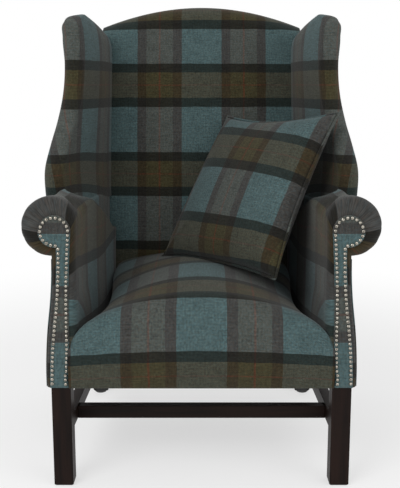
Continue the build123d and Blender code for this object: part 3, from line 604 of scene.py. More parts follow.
# Share of the height, depth of the leading edge, its distance from the middle, and plumpness
WING_SHAPE = np.array([
    (0, 185, 362, 1.0), (0.106, 198, 370, 1.0), (0.211, 215, 373, 1.0), (0.328, 250, 364, 1.0),
    (0.444, 288, 352, 1.0), (0.592, 322, 341, 1.0), (0.74, 333, 337, 1.0),
    (0.877, 338, 341, 1.0), (0.951, 350, 342, 0.9), (0.987, 376, 335, 0.62), (1, 400, 325, 0.3)])
WING_SEAM, SEAM_DEPTH = 244, 25        # where the wing is sewn to the inside back
WING_FALL, FALL_FROM = 0.18, 700       # above this height the levels fall towards the back
WING_REAR_EXTRA, REAR_AIM = 22, 30
CHEEK_HOLLOW = 6
WING_COLUMNS = (30, 30, 34, 16, 16, 6)
CLOTH_ANCHOR = 831       # at this height the pattern on the back and the wings is known
BACK_WEFT_START = CLOTH_ANCHOR - WEFT_REPEAT * 2


def wing_loop(height, lead_y, lead_x, plump):
    """Closed loop round the right wing at one level, and the cloth run along it."""
    half = WING_HALF * plump
    fall = WING_FALL * max(0.0, (height - FALL_FROM) / (CREST_HEIGHT - FALL_FROM))
    pinch = WING_HALF * (1 - plump)
    rear = rear_y(height) - CLEARANCE
    outer_rear = back_half(height) + WING_REAR_EXTRA - pinch
    seam = np.array([WING_SEAM + pinch, inside_back_y(height) + SEAM_DEPTH])
    nose = np.array([lead_x - WING_HALF * 0.97, lead_y + WING_HALF])
    along = np.array([outer_rear - half, rear + REAR_AIM]) - nose
    along /= np.linalg.norm(along)
    out = np.array([along[1], -along[0]])
    outer, inner, tip = nose + out * half, nose - out * half, nose - along * half
    side = back_half(height) + CLEARANCE
    meet = np.array([seam[0] + 4, inside_back_y(height) + LUMBAR_BOW + BACK_CROWN * 0.72])
    cheek = inner + (seam - inner) * 0.5 - out * CHEEK_HOLLOW * plump
    beside_back = (side, meet[1] + 3)
    flat = np.concatenate([
        run((outer_rear, rear), outer, WING_COLUMNS[0]),
        arc(outer, tip, inner, WING_COLUMNS[1]),
        arc(inner, cheek, meet, WING_COLUMNS[2]),
        run(meet, beside_back, WING_COLUMNS[3]),
        run(beside_back, (side, rear), WING_COLUMNS[4]),
        run((side, rear), (outer_rear, rear), WING_COLUMNS[5])])
    z = height - np.maximum(0, flat[:, 1] - lead_y) * fall
    along_cloth = lengths(flat)
    return np.insert(flat, 2, z, axis=1), along_cloth[sum(WING_COLUMNS[:3])] - along_cloth


def wing_at(share):
    """Loop and cloth run of the right wing at a share of its height."""
    lead_y, lead_x, plump = (through(share, WING_SHAPE[:, 0], WING_SHAPE[:, i]) for i in (1, 2, 3))
    return wing_loop(WING_FOOT + share * (WING_TOP - WING_FOOT), lead_y, lead_x, plump)


# %% Cloth of the wing
# Heights on the leading edge, and the height on the cloth that is drawn to each
EDGE_HEIGHTS = (540, 643, 717, 843, 938, 1120)
EDGE_CLOTH = (470, 601, 697, 843, 938, 1120)
TOP_TURN = 0.93          # from this share of its height a wing rounds over
TOP_CLOTH = 60


def wing_weft(z, y, lead_y):
    """Height of the wing's cloth: it is drawn down over the leading edge, which leans forward."""
    front = through(z, EDGE_HEIGHTS, EDGE_CLOTH)
    return z + (front - z) * (1 - ease(y, lead_y + 40, 560))


# %% Wing mesh
def wing_mesh():
    """Right wing as one closed form, its top rounded over."""
    shares = np.concatenate([np.linspace(0, TOP_TURN, 64), np.linspace(TOP_TURN, 1, 14)[1:]])
    rows, cloth = [], []
    for share in shares:
        loop, run_back = wing_at(share)
        rows.append(loop)
        u = np.append(WING_SEAM + run_back, 0)
        u[-1] = u[-2] - 8
        v = wing_weft(loop[:, 2], loop[:, 1], loop[:, 1].min())
        v = np.append(v, v[0]) + (share - TOP_TURN) * TOP_CLOTH * (share > TOP_TURN)
        cloth.append(np.stack([u, v - BACK_WEFT_START], 1))
    return outward(cover("wing_right", rows, cloth))


wing_right = wing_mesh()
wing_left = mirrored(wing_right, "wing_left")
count_faces(wing_right)

# %% [markdown]
# ## Rolled arms
# An arm is a scroll section carried from the facing to the back. The section is drawn as arcs,
# swollen at the front where the padding stands out round the nailed facing, and pleats run
# outward from the facing over the scroll, because there the cloth has to be gathered. Behind
# the scroll the cloth dips into a valley where the wing's cover is pulled down beside the arm.
# A modifier could not bend one section into all of these, so the rows are worked out one by one.

# %% Arm outline
ARM_STEPS = (14, 16, 44, 24, 24, 14, 12)
INNER_FOOT, INNER_NECK, CREST_INDEX = ARM_STEPS[0], sum(ARM_STEPS[:2]), sum(ARM_STEPS[:3])
OUTER_STEPS = sum(ARM_STEPS[5:])
HALF_ROOT = math.sqrt(0.5)
MID_KNEE = (RAIL_UNDERSIDE + ARM_KNEE) / 2


def arm_section(line, steps=ARM_STEPS):
    """Flat outline of the right arm, from its inner foot over the scroll to its outer foot."""
    radius, top = line["scroll_radius"], line["top"]
    roll = top - radius
    turn = line["scroll_x"] - line["neck_in"]
    under = roll - math.sqrt(radius**2 - (line["neck_out"] - line["scroll_x"]) ** 2)
    foot_in, knee_in = (line["foot_in"], RAIL_UNDERSIDE), (line["knee_in"], ARM_KNEE)
    neck_in = (line["neck_in"], top - turn)
    crest, outermost = (line["scroll_x"], top), (line["scroll_x"] + radius, roll)
    neck_out, knee_out = (line["neck_out"], under), (line["knee_out"], ARM_KNEE)
    foot_out = (line["foot_out"], RAIL_UNDERSIDE)
    shoulder = (line["scroll_x"] - turn * HALF_ROOT, top - turn + turn * HALF_ROOT)
    swell = (line["scroll_x"] + radius * HALF_ROOT, roll + radius * HALF_ROOT)
    belly = (line["scroll_x"] + radius * HALF_ROOT, roll - radius * HALF_ROOT)
    inner_shin = ((foot_in[0] + knee_in[0]) / 2 - 1.5, MID_KNEE)
    inner_side = ((knee_in[0] + neck_in[0]) / 2 + 1.5, (ARM_KNEE + neck_in[1]) / 2)
    outer_side = ((neck_out[0] + knee_out[0]) / 2 - 2, (under + ARM_KNEE) / 2)
    outer_shin = ((foot_out[0] + knee_out[0]) / 2 + 3, MID_KNEE)
    corners = (foot_in, inner_shin, knee_in, inner_side, neck_in, shoulder, crest, swell, outermost,
               belly, neck_out, outer_side, knee_out, outer_shin, foot_out)
    arcs = [arc(*corners[2 * i:2 * i + 3], count) for i, count in enumerate(steps)]
    return np.concatenate([*arcs, [foot_out]])


def between(line, other, share):
    """Section part of the way between two sections."""
    return {key: line[key] + (other[key] - line[key]) * share for key in line}


# %% Valley beside the wing
SHOULDER_STEPS = 12
RIDGE_INDEX = INNER_NECK + SHOULDER_STEPS
# Depth, distance from the middle and height of the ridge along the inner edge of an arm
RIDGE = np.array([(60, 322, 652), (90, 313, 648), (130, 297, 643), (180, 277, 635), (240, 254, 619),
                  (330, 245, 585), (430, 241, 543), (490, 239, 512), (510, 238.5, 504)])
RIDGE_ROUND = 7          # the ridge is at least this round
RAIL_INNER = np.array([(36, 296), (595, 254)])      # inner face of the arm's top rail
RAIL_TOP = 609
VALLEY_START, VALLEY_FULL = 165, 235
VALLEY_DEPTH, VALLEY_FLOOR = 14, 600

foot_loop, foot_run = wing_at(0)
inner_face = slice(sum(WING_COLUMNS[:2]), sum(WING_COLUMNS[:3]))
face_x, face_y, face_run = foot_loop[inner_face, 0], foot_loop[inner_face, 1], foot_run[inner_face]


def valley_section(line, y):
    """Section where the cloth dips behind the ridge and rises again as the wing's cover."""
    section = arm_section(line)
    x, z = through(y, RIDGE[:, 0], RIDGE[:, 1]), through(y, RIDGE[:, 0], RIDGE[:, 2])
    inner = line["neck_in"]
    radius = max(x - inner, RIDGE_ROUND)
    top = (inner + radius, z)
    start = (inner, z - 1.25 * radius)
    face = float(np.interp(y, face_y, face_x))
    wall = min(face, float(np.interp(y, RAIL_INNER[:, 0], RAIL_INNER[:, 1])) - 2)
    knee, crest = section[INNER_FOOT].copy(), section[CREST_INDEX].copy()
    floor_z = min(z - VALLEY_DEPTH, VALLEY_FLOOR)
    steps = CREST_INDEX - RIDGE_INDEX
    deep = evenly(np.array([top, (top[0] + 5, z - 2), (min(top[0] + 9, wall - 6), z - 8),
                            (min(top[0] + 13, wall - 4), floor_z), (wall - 3, floor_z),
                            (wall, floor_z + 8), (wall, RAIL_TOP - 4), (wall + 2, RAIL_TOP),
                            (face + 5, RAIL_TOP + 1), crest]), steps + 1)[:-1]
    share = float(ease(y, VALLEY_START, VALLEY_FULL))
    side = ((knee[0] + inner) / 2 + 1, (knee[1] + start[1]) / 2)
    shoulder = (inner + 0.27 * radius, z - 0.36 * radius)
    section[INNER_FOOT:INNER_NECK] = arc(knee, side, start, INNER_NECK - INNER_FOOT)
    section[INNER_NECK:RIDGE_INDEX] = arc(start, shoulder, top, SHOULDER_STEPS)
    section[RIDGE_INDEX:CREST_INDEX] = run(top, crest, steps) * (1 - share) + deep * share
    return section


# %% Pleats round the scroll
PLEATS, PLEAT_DEPTH = 13, 1.9
PLEAT_UNEVEN, PLEAT_SHARP, PLEAT_REST = 0.4, 0.7, 0.6
PLEAT_FADE, PLEAT_START = 60, 20       # below the middle of the scroll


def pleat_pattern(section, line):
    """How far each point of a section dips or rises where pleats radiate round the scroll."""
    centre = np.array([line["scroll_x"], line["top"] - line["scroll_radius"]])
    flat = section - centre
    angle = np.arctan2(flat[:, 1], flat[:, 0])
    around = ease(section[:, 1], centre[1] - PLEAT_FADE, centre[1] - PLEAT_START)
    wave = np.sin(angle * PLEATS / 2 + PLEAT_UNEVEN * np.sin(3 * angle))
    return around * (np.abs(wave) ** PLEAT_SHARP - PLEAT_REST)


def outward_of(section):
    """Unit directions out of a flat outline at each of its points."""
    along = np.gradient(section, axis=0)
    sideways = np.stack([-along[:, 1], along[:, 0]], 1)
    return sideways / np.linalg.norm(sideways, axis=1)[:, None]


# %% Cloth of the arm
ARM_WARP_SHIFT, ARM_WEFT_SHIFT = 19, -20.5
# Over the scroll the cloth is stretched. At each depth it is let down by a drift, and the band
# that starts at UPPER_CLOTH on the cloth is drawn to a line of its own.
ARM_DEPTHS, ARM_DRIFT = (0, 30, 180, 323, 490, 700), (0, 0, 16, 27, 15, 10)
UPPER_DEPTHS, UPPER_LINE = (0, 30, 165, 323, 490, 700), (368, 370, 404, 380, 365, 365)
UPPER_CLOTH, LOWER_BAND, TOP_BAND = 350, 267, 497
STRETCH_FROM, STRETCH = 370, 0.72
WING_CLOTH_FROM = 200    # behind this depth the valley shows the wing's cloth


def arm_cloth(section, plain_run, y, along, dip):
    """Place on the uncut cloth of each point of one arm row, in millimetres."""
    index = np.arange(len(section))
    run_up = lengths(section)
    over = np.interp(index, [RIDGE_INDEX, CREST_INDEX], [run_up[RIDGE_INDEX], plain_run[CREST_INDEX]])
    run_up = np.where(index < RIDGE_INDEX, run_up, over)
    v = plain_run + (run_up - plain_run) * dip * (index < CREST_INDEX)
    v = np.where(v > STRETCH_FROM, STRETCH_FROM + (v - STRETCH_FROM) * STRETCH, v) + ARM_WEFT_SHIFT
    v = v + through(y, ARM_DEPTHS, ARM_DRIFT)
    upper = through(y, UPPER_DEPTHS, UPPER_LINE)
    v = np.interp(v, [-200, LOWER_BAND, upper, TOP_BAND, 900],
                  [-200, LOWER_BAND, UPPER_CLOTH, TOP_BAND, 900])
    lean = np.clip(1.5 * (430 - section[:, 1]), 0, 95) * (1 - ease(y, 60, 240))
    u = along + ARM_WARP_SHIFT - lean * (index < INNER_FOOT + 4)
    if y > WING_CLOTH_FROM:
        on_wing = (index > RIDGE_INDEX + 6) & (index < CREST_INDEX)
        u = np.where(on_wing, WING_SEAM + np.interp(y, face_y, face_run), u)
        v = np.where(on_wing, wing_weft(section[:, 1], y, face_y[0]) - BACK_WEFT_START, v)
    return np.stack([np.append(u, u[-1]), np.append(v, v[-1] + 90)], 1)


# %% Arm rows
EDGE_ROWS, LENGTH_ROWS = 15, 59
EDGE_CLOTH_RUN = ARM_PADDING * math.pi / 2
ROLL_SINK = 17           # the roll sinks by this behind its padded front
WING_PULL = 26           # and by this where the cover of the wing is pulled down beside it
HAND_WAVE, WAVE_LENGTH = 0.7, 61.0     # no roll is quite straight
plain_run = lengths(arm_section(PADDED_LINE))


def edge_rows():
    """Rows that turn from the facing over the swollen front edge, and their cloth."""
    pattern = pleat_pattern(arm_section(FACING_LINE), FACING_LINE)
    rows, cloth = [], []
    for turn in np.linspace(0, math.pi / 2, EDGE_ROWS):
        section = arm_section(between(FACING_LINE, PADDED_LINE, math.sin(turn)))
        depth = PLEAT_DEPTH * max(0.0, math.sin(turn * 2)) ** 0.8
        section = section + outward_of(section) * (pattern * depth)[:, None]
        y = ARM_PADDING * (1 - math.cos(turn))
        along = EDGE_CLOTH_RUN - 0.15 * (EDGE_CLOTH_RUN - ARM_PADDING * turn)
        rows.append(np.insert(section, 1, y, axis=1))
        cloth.append(arm_cloth(section, plain_run, y, along, 0))
    return rows, cloth


def length_rows():
    """Rows along the roll and the valley to the inside back, and their cloth."""
    rows, cloth = [], []
    for y in np.linspace(ARM_PADDING, ARM_INNER_LENGTH, LENGTH_ROWS + 1)[1:]:
        line = between(PADDED_LINE, REAR_LINE, (y - ARM_PADDING) / (ARM_INNER_LENGTH - ARM_PADDING))
        plain = arm_section(line)
        plain[:, 1] -= ROLL_SINK * ease(y, 30, 180) * ease(plain[:, 1], 585, 640)
        valley = valley_section(line, max(y, RIDGE[0, 0] + 2))
        valley[CREST_INDEX:] = plain[CREST_INDEX:]
        dip = float(ease(y, 36, 130))
        section = plain * (1 - dip) + valley * dip
        index = np.arange(len(section))
        near_crest = (index >= RIDGE_INDEX) * (1 - ease(index, CREST_INDEX, CREST_INDEX + 13))
        pull = WING_PULL * ease(y, 188, 225)
        section[:, 1] -= pull * near_crest * ease(section[:, 1], RAIL_TOP, 637)
        section[:, 1] += HAND_WAVE * np.sin(y / WAVE_LENGTH) * ease(section[:, 1], 590, 640)
        rows.append(np.insert(section, 1, y, axis=1))
        along = y + ARM_PADDING * (math.pi / 2 - 1)
        cloth.append(arm_cloth(section, plain_run, y, along, dip))
    return rows, cloth


def end_rows(last):
    """Rows that pass behind the inside back and beside it to the outside of the back."""
    behind = last.copy()
    behind[:, 1] = [inside_back_y(z) + LUMBAR_BOW + BACK_CROWN for z in behind[:, 2]]
    behind[:, 1] = np.maximum(behind[:, 1] - CLEARANCE, ARM_INNER_LENGTH + 2)
    beside = behind.copy()
    beside[:, 0] = np.maximum(beside[:, 0], [back_half(z) + CLEARANCE for z in beside[:, 2]])
    beside[:, 1] += 0.5
    end = beside.copy()
    end[:, 1] = [rear_y(z) - CLEARANCE for z in end[:, 2]]
    return [behind, beside, end]


# %% Arm mesh
def right_arm():
    """Inside arm, its roll and padding in one cover."""
    rows, cloth = edge_rows()
    more_rows, more_cloth = length_rows()
    rows, cloth = rows + more_rows, cloth + more_cloth
    hidden = [cloth[-1] + np.array([tucked, 0]) for tucked in (45, 46, 120)]
    return outward(cover("inside_arm_right", rows + end_rows(rows[-1]), cloth + hidden))


arm_right = right_arm()
arm_left = mirrored(arm_right, "inside_arm_left")
count_faces(arm_right)

# %% [markdown]
# ## Tight sprung seat
# The seat has no loose cushion. One cloth comes up from under the front rail, over a rounded
# nose, and back over a crown that the springs push up in the middle, and it falls away to the
# arms, where it is tucked down. Its rows are profiles from front to back, side by side, because
# the crown and the falling sides are then only a change in each profile's few heights.

# %% Seat profile
SEAT_NOSE_HEIGHT, SEAT_FRONT_HEIGHT = 398, 440
SEAT_NOSE_DROP, SEAT_FRONT_DROP, SEAT_REAR_DROP = 56, 72, 34
SEAT_BELLY, SEAT_CROWN = 16, 18
SEAT_TUCK_FRONT, SEAT_TUCK_REAR = 27, 14        # how deep the sides are tucked down
SEAT_BEHIND_RAIL, SEAT_ON_RAIL = 14, 10
SEAT_WEFT_SHIFT = 25
# Depths, and half of the width between the arms at each
SEAT_DEPTHS = (-30, 2, 14, ARM_PADDING, ARM_INNER_LENGTH, 600)
SEAT_HALVES = (291, 290, 281, 273, 237, 234)


def seat_half_at(y):
    """Half of the width of the seat between the arms, at a depth."""
    return through(y, SEAT_DEPTHS, SEAT_HALVES) - CLEARANCE


def seat_line(share, count=150):
    """Flat profile (y, z) of the seat at a share of its half width, front to back."""
    wide = share**2
    rear = inside_back_y(SEAT_FRONT_HEIGHT) + 16
    bottom = (-6, RAIL_UNDERSIDE)
    nose = (-8 + 6 * wide, SEAT_NOSE_HEIGHT - SEAT_NOSE_DROP * wide)
    front = (40 - 15 * wide, SEAT_FRONT_HEIGHT - SEAT_FRONT_DROP * wide)
    back = (rear, SEAT_FRONT_HEIGHT - SEAT_REAR_DROP * wide)
    turn = ((nose[0] + front[0]) / 2 - 5.2, (nose[1] + front[1]) / 2 + 5.4)
    belly = (-10 - SEAT_BELLY * (1 - wide), (RAIL_UNDERSIDE + nose[1]) / 2)
    crown = (rear * 0.55, (front[1] + back[1]) / 2 + 3 + SEAT_CROWN * (1 - wide))
    return evenly(np.concatenate([arc(bottom, belly, nose, 40), arc(nose, turn, front, 30),
                                  arc(front, crown, back, 80), [back]]), count)


# %% Seat mesh
def seat_mesh():
    """Seat cover and padding as one closed form."""
    shares = np.sin(np.linspace(-math.pi / 2, math.pi / 2, 97))
    rows, cloth = [], []
    top_run = lengths(seat_line(0))
    for share in shares:
        line = seat_line(share)
        deep = SEAT_TUCK_FRONT + (SEAT_TUCK_REAR - SEAT_TUCK_FRONT) * ease(line[:, 0], 60, 180)
        line[:, 1] -= abs(share) ** 26 * deep * ease(line[:, 1], 320, 350)
        front = np.stack([share * seat_half_at(line[:, 0]), line[:, 0], line[:, 1]], 1)
        rear_top, rear_low = line[-1], (line[-1][0], SEAT_BASE)
        front_low, foot = (SEAT_BEHIND_RAIL, SEAT_BASE), (SEAT_ON_RAIL, RAIL_UNDERSIDE)
        under = np.concatenate([run(rear_top, rear_low, 6)[1:], run(rear_low, front_low, 20),
                                run(front_low, foot, 8), [foot]])
        below = np.stack([share * seat_half_at(under[:, 0]), under[:, 0], under[:, 1]], 1)
        rows.append(np.concatenate([front, below]))
        v = np.concatenate([top_run, top_run[-1] + lengths(under) + 5, [top_run[-1] + 700]])
        u = np.concatenate([front[:, 0], below[:, 0], [front[0, 0]]])
        cloth.append(np.stack([u, v + SEAT_WEFT_SHIFT + 12 * share**2], 1))
    return outward(cover("seat", rows, cloth))


seat = seat_mesh()
count_faces(seat)

# %% [markdown]
# ## Inside back
# The back leans with the posts, bows forward at the loins, and rises to a camel crest. Its
# cloth goes over the crest and down behind, so the profile is carried round the top as well. It
# is made like the seat, of upright profiles side by side, which keeps the pattern straight.

# %% Back profile
def back_line(share, count=170):
    """Closed flat profile (y, z) of the back at a share of its half width."""
    wide = share**2
    top = CREST_HEIGHT - CREST_DROP * wide
    step = BACK_CROWN * wide
    foot, shoulder = BACK_UNDERSIDE, top - CREST_RADIUS
    low = (inside_back_y(foot) + LUMBAR_BOW + step, foot)
    high = (inside_back_y(shoulder) + LUMBAR_BOW + step, shoulder)
    middle = 0.5 * (foot + shoulder)
    bend = (inside_back_y(middle) + step, middle)
    apex = (inside_back_y(top) + 0.5 * (BACK_THICKNESS + LUMBAR_BOW + step), top)
    brow = (high[0] + 0.32 * CREST_RADIUS, top - 0.3 * CREST_RADIUS)
    heel = top - 0.75 * CREST_RADIUS
    nape = (rear_y(heel), heel)
    crown_z = top - 0.22 * CREST_RADIUS
    crown = (rear_y(crown_z) - 0.25 * CREST_RADIUS, crown_z)
    return evenly(np.concatenate([arc(low, bend, high, 60), arc(high, brow, apex, 30),
                                  arc(apex, crown, nape, 30), [nape]]), count)


# %% Back mesh
CREST_CLOTH, CREST_CLOTH_FROM, CREST_CLOTH_TO = 25, 950, 1040     # drawn up over the crest


def back_mesh():
    """Inside back and its padding as one closed form."""
    shares = np.sin(np.linspace(-math.pi / 2, math.pi / 2, 81))
    rows, cloth = [], []
    for share in shares:
        line = back_line(share)
        along = lengths(line)
        x = share * np.array([back_half(z) - CLEARANCE for z in line[:, 1]])
        front = np.stack([x, line[:, 0], line[:, 1]], 1)
        nape, heel = line[-1], (rear_y(BACK_UNDERSIDE), BACK_UNDERSIDE)
        rear = np.concatenate([run(nape, heel, 12)[1:], run(heel, line[0], 5)])
        rear_x = share * np.array([back_half(z) - CLEARANCE for z in rear[:, 1]])
        rows.append(np.concatenate([front, np.stack([rear_x, rear[:, 0], rear[:, 1]], 1)]))
        rising = slice(0, int(np.argmax(line[:, 1])))
        anchor = float(np.interp(CLOTH_ANCHOR, line[rising, 1], along[rising]))
        v = np.where(along < anchor, line[:, 1], CLOTH_ANCHOR + along - anchor)
        v = v + CREST_CLOTH * ease(v, CREST_CLOTH_FROM, CREST_CLOTH_TO)
        v = np.concatenate([v, v[-1] + 40 + lengths(rear), [v[-1] + 900]])
        u = np.concatenate([x, rear_x, [x[0]]])
        cloth.append(np.stack([u, v - BACK_WEFT_START], 1))
    return outward(cover("inside_back", rows, cloth))


back = back_mesh()
count_faces(back)

# %% [markdown]
# ## Scroll facings
# The front of each arm is closed by a thin board in the outline of the scroll, padded a little
# and covered in the same cloth, with its edge rounded. The stripes run across it. Its outline is
# the arm's own, drawn in ring by ring, so it fits the arm wherever the drawing changes.

# %% Facing mesh
FACING_MIDDLE = (303, 521)
FACING_CLOTH = (0, 181)
FACING_SHRINK = 0.963
FACING_FOOT = 30         # near the foot the outline is kept inside its corners
# How far the outline is drawn in, and how far it stands in front of the legs, over the edge
FACING_ROUND = ((0, -0.3), (0, -2.6), (0.8, -4.0), (2.4, -4.9), (6, -5.3), (11, -5.5))


def facing_outline(inset):
    """Outline of the facing, drawn in by a little, and how many of its points are the scroll."""
    section = arm_section(FACING_LINE, (34, 34, 34, 34, 34, 26, 26))
    outline = np.concatenate([section, run(section[-1], section[0], 12)[1:]])
    along = np.roll(outline, -1, 0) - np.roll(outline, 1, 0)
    sideways = np.stack([along[:, 1], -along[:, 0]], 1)
    ring = outline + sideways / np.linalg.norm(sideways, axis=1)[:, None] * inset
    low = outline[:, 1] < RAIL_UNDERSIDE + FACING_FOOT
    slack = (outline[:, 1] - RAIL_UNDERSIDE) * (1 - inset / FACING_FOOT)
    ring[low, 1] = RAIL_UNDERSIDE + inset + np.maximum(slack[low], 0)
    ring[low, 0] = np.clip(ring[low, 0], FACING_LINE["foot_in"] + inset,
                           FACING_LINE["foot_out"] - inset)
    return ring, len(section)


def facing_mesh():
    """Right scroll facing as a padded board, its front and back filled."""
    rows, cloth = [], []
    for inset, y in FACING_ROUND:
        ring = facing_outline(inset)[0]
        x, z = ring.T
        spot = np.stack([FACING_CLOTH[0] + (z - FACING_MIDDLE[1]) * FACING_SHRINK,
                         FACING_CLOTH[1] + (x - FACING_MIDDLE[0])], 1)
        rows.append(np.insert(ring, 1, y, axis=1))
        cloth.append(np.concatenate([spot, spot[:1]]))
    return outward(cover("arm_facing_right_cover", rows, cloth))


facing_right = facing_mesh()
facing_left = mirrored(facing_right, "arm_facing_left_cover")
count_faces(facing_right)

# %% [markdown]
# ## Loose cushion
# A scatter cushion is two squares of cloth sewn round their edge, with a corded seam, and
# stuffed. It is made the same way: two sheets share one ring of points, pinned as the seam, and
# Blender's Cloth blows them up with pressure. The growth is capped, and what would stand in the
# seat or the back is pushed out, which gives the dents where the cushion leans on them.

# %% Cushion panels
CUSHION_MIDDLE = (116, 330, 638)
CUSHION_SPIN, CUSHION_TILT, CUSHION_ROLL = -54, -31, -3
CUSHION_TURN = (Matrix.Rotation(math.radians(CUSHION_SPIN), 3, "Z")
                @ Matrix.Rotation(math.radians(CUSHION_TILT), 3, "X")
                @ Matrix.Rotation(math.radians(CUSHION_ROLL), 3, "Y")
                @ Matrix.Rotation(math.radians(90), 3, "X"))
# Corners of the flat panel: left low and left high, then right low and right high
CUSHION_CORNERS = np.array([[(-218.7, -221.1), (-201.7, 205.6)], [(219.9, -218.4), (209.3, 208.8)]])
CUSHION_BOW = dict(left=10, right=22, top=24, bottom=18)
CUSHION_START = 54       # height of one face before the pressure
CUSHION_STEPS = 56
CUSHION_CLOTH = (112, -22.5)


def cushion_cloth(x, y):
    skew = 6 + (y + 111) * 37 / 243
    return x + CUSHION_CLOTH[0], y + skew * x / 425 + CUSHION_CLOTH[1]


def cushion_sheet():
    """Flat places and heights of one face, on a square grid of points."""
    line = np.linspace(-1, 1, CUSHION_STEPS + 1)
    a, b = np.meshgrid(line, line, indexing="ij")
    low, high = (1 - a) / 2, (1 + a) / 2
    under, upper = (1 - b) / 2, (1 + b) / 2
    flat = sum((w[..., None] * corner) for w, corner in (
        (low * under, CUSHION_CORNERS[0, 0]), (low * upper, CUSHION_CORNERS[0, 1]),
        (high * under, CUSHION_CORNERS[1, 0]), (high * upper, CUSHION_CORNERS[1, 1])))
    flat[..., 0] -= np.where(a > 0, CUSHION_BOW["right"], CUSHION_BOW["left"]) * a * (1 - b**2)
    flat[..., 1] -= np.where(b > 0, CUSHION_BOW["top"], CUSHION_BOW["bottom"]) * b * (1 - a**2)
    return flat, CUSHION_START * ((1 - a**2) * (1 - b**2)) ** 0.38


# %% Cushion mesh
def seam_walk(last):
    """Places of a square grid's border, walked round once."""
    steps = range(last)
    return ([(i, 0) for i in steps] + [(last, j) for j in steps]
            + [(last - i, last) for i in steps] + [(0, last - j) for j in steps])


def cushion_mesh():
    """Both faces of the cushion on one ring of seam points, and that ring."""
    flat, rise = cushion_sheet()
    border = seam_walk(CUSHION_STEPS)
    on_seam = set(border)
    place = {}
    points, faces, spots = [], [], []
    for side in (1, -1):
        for i, j in np.ndindex(CUSHION_STEPS + 1, CUSHION_STEPS + 1):
            if side == -1 and (i, j) in on_seam:
                place[side, i, j] = place[1, i, j]
                continue
            place[side, i, j] = len(points)
            points.append((*flat[i, j], side * rise[i, j]))
        for i, j in np.ndindex(CUSHION_STEPS, CUSHION_STEPS):
            corners = [(i, j), (i + 1, j), (i + 1, j + 1), (i, j + 1)][::side]
            faces.append([place[side, *corner] for corner in corners])
            spots.append([cushion_cloth(*flat[corner]) for corner in corners])
    turned = np.array(points) @ np.array(CUSHION_TURN).T + CUSHION_MIDDLE
    mesh = bpy.data.meshes.new("scatter_cushion")
    mesh.from_pydata([tuple(p) for p in in_scene(turned)], [], faces)
    put_cloth(mesh, spots)
    return placed("scatter_cushion_body", mesh), [place[1, i, j] for i, j in border]


cushion, seam_ring = cushion_mesh()
count_faces(cushion)

# %% Stuff the cushion
CUSHION_CAP = 16         # no point grows further than this
CUSHION_PRESSURE = 4
LAST_FRAME = 20


def points_of(mesh):
    """Places of a mesh's points."""
    flat = np.empty(len(mesh.vertices) * 3)
    mesh.vertices.foreach_get("co", flat)
    return flat.reshape(-1, 3)


def move_points(mesh, points):
    """Put a mesh's points at new places."""
    mesh.vertices.foreach_set("co", points.ravel())
    mesh.update()


def stuffed(piece, pinned):
    """Blow the piece up with Cloth and keep the result, no point moving further than the cap."""
    before = points_of(piece.data)
    piece.vertex_groups.new(name="seam").add(pinned, 1.0, "REPLACE")
    stuffing = piece.modifiers.new("stuffing", "CLOTH")
    stuffing.settings.quality = 6
    stuffing.settings.mass = 0.3
    stuffing.settings.vertex_group_mass = "seam"
    stuffing.settings.use_pressure = True
    stuffing.settings.uniform_pressure_force = CUSHION_PRESSURE
    stuffing.settings.effector_weights.gravity = 0
    stuffing.collision_settings.use_collision = False
    scene = bpy.context.scene
    for frame_number in range(1, LAST_FRAME + 1):
        scene.frame_set(frame_number)
    after = points_of(piece.evaluated_get(bpy.context.evaluated_depsgraph_get()).to_mesh())
    piece.modifiers.remove(stuffing)
    piece.vertex_groups.clear()
    scene.frame_set(1)
    step = after - before
    far = np.linalg.norm(step, axis=1)[:, None]
    print(piece.name, "grew by", round(float(far.mean()) / MM, 1), "mm, at most",
          round(float(far.max()) / MM, 1))
    cap = CUSHION_CAP * MM
    move_points(piece.data, before + step * np.minimum(1, cap / np.maximum(far, 1e-9)))


stuffed(cushion, seam_ring)

# %% Push the cushion out of what it leans on
CUSHION_GAP, CORD_GAP = 0.0009, 0.0005
NEAR = 0.09


def pushed_out(points, neighbours, gap):
    """Points moved out of the neighbours to a small gap from them."""
    depsgraph = bpy.context.evaluated_depsgraph_get()
    moved = points.copy()
    for tree in [BVHTree.FromObject(item, depsgraph) for item in neighbours]:
        for index, point in enumerate(moved):
            spot, normal = tree.find_nearest(Vector(point), NEAR)[:2]
            if spot is not None and (Vector(point) - spot).dot(normal) < gap:
                moved[index] = spot + normal * gap
    return moved


stuffed_points = points_of(cushion.data)
rested = pushed_out(stuffed_points, (seat, back), CUSHION_GAP)
rested = pushed_out(rested, (seat, back), CUSHION_GAP)
touching = np.abs(rested - stuffed_points).sum(1) > 1e-6
print("cushion rests on", int(touching.sum()), "points")
move_points(cushion.data, rested)
softener = cushion.modifiers.new("softer", "SUBSURF")
softener.levels = softener.render_levels = 1

# %% Cushion seam
PIPING_RADIUS = 3
PIPING_SIDES = 10
PIPING_OUT = 1.4         # the cord lies this far outside the seam
PIPING_BIAS = 0.7        # its cloth is cut on the cross


def unit(rows):
    """Rows of arrows, each made one long."""
    return rows / np.linalg.norm(rows, axis=1)[:, None]


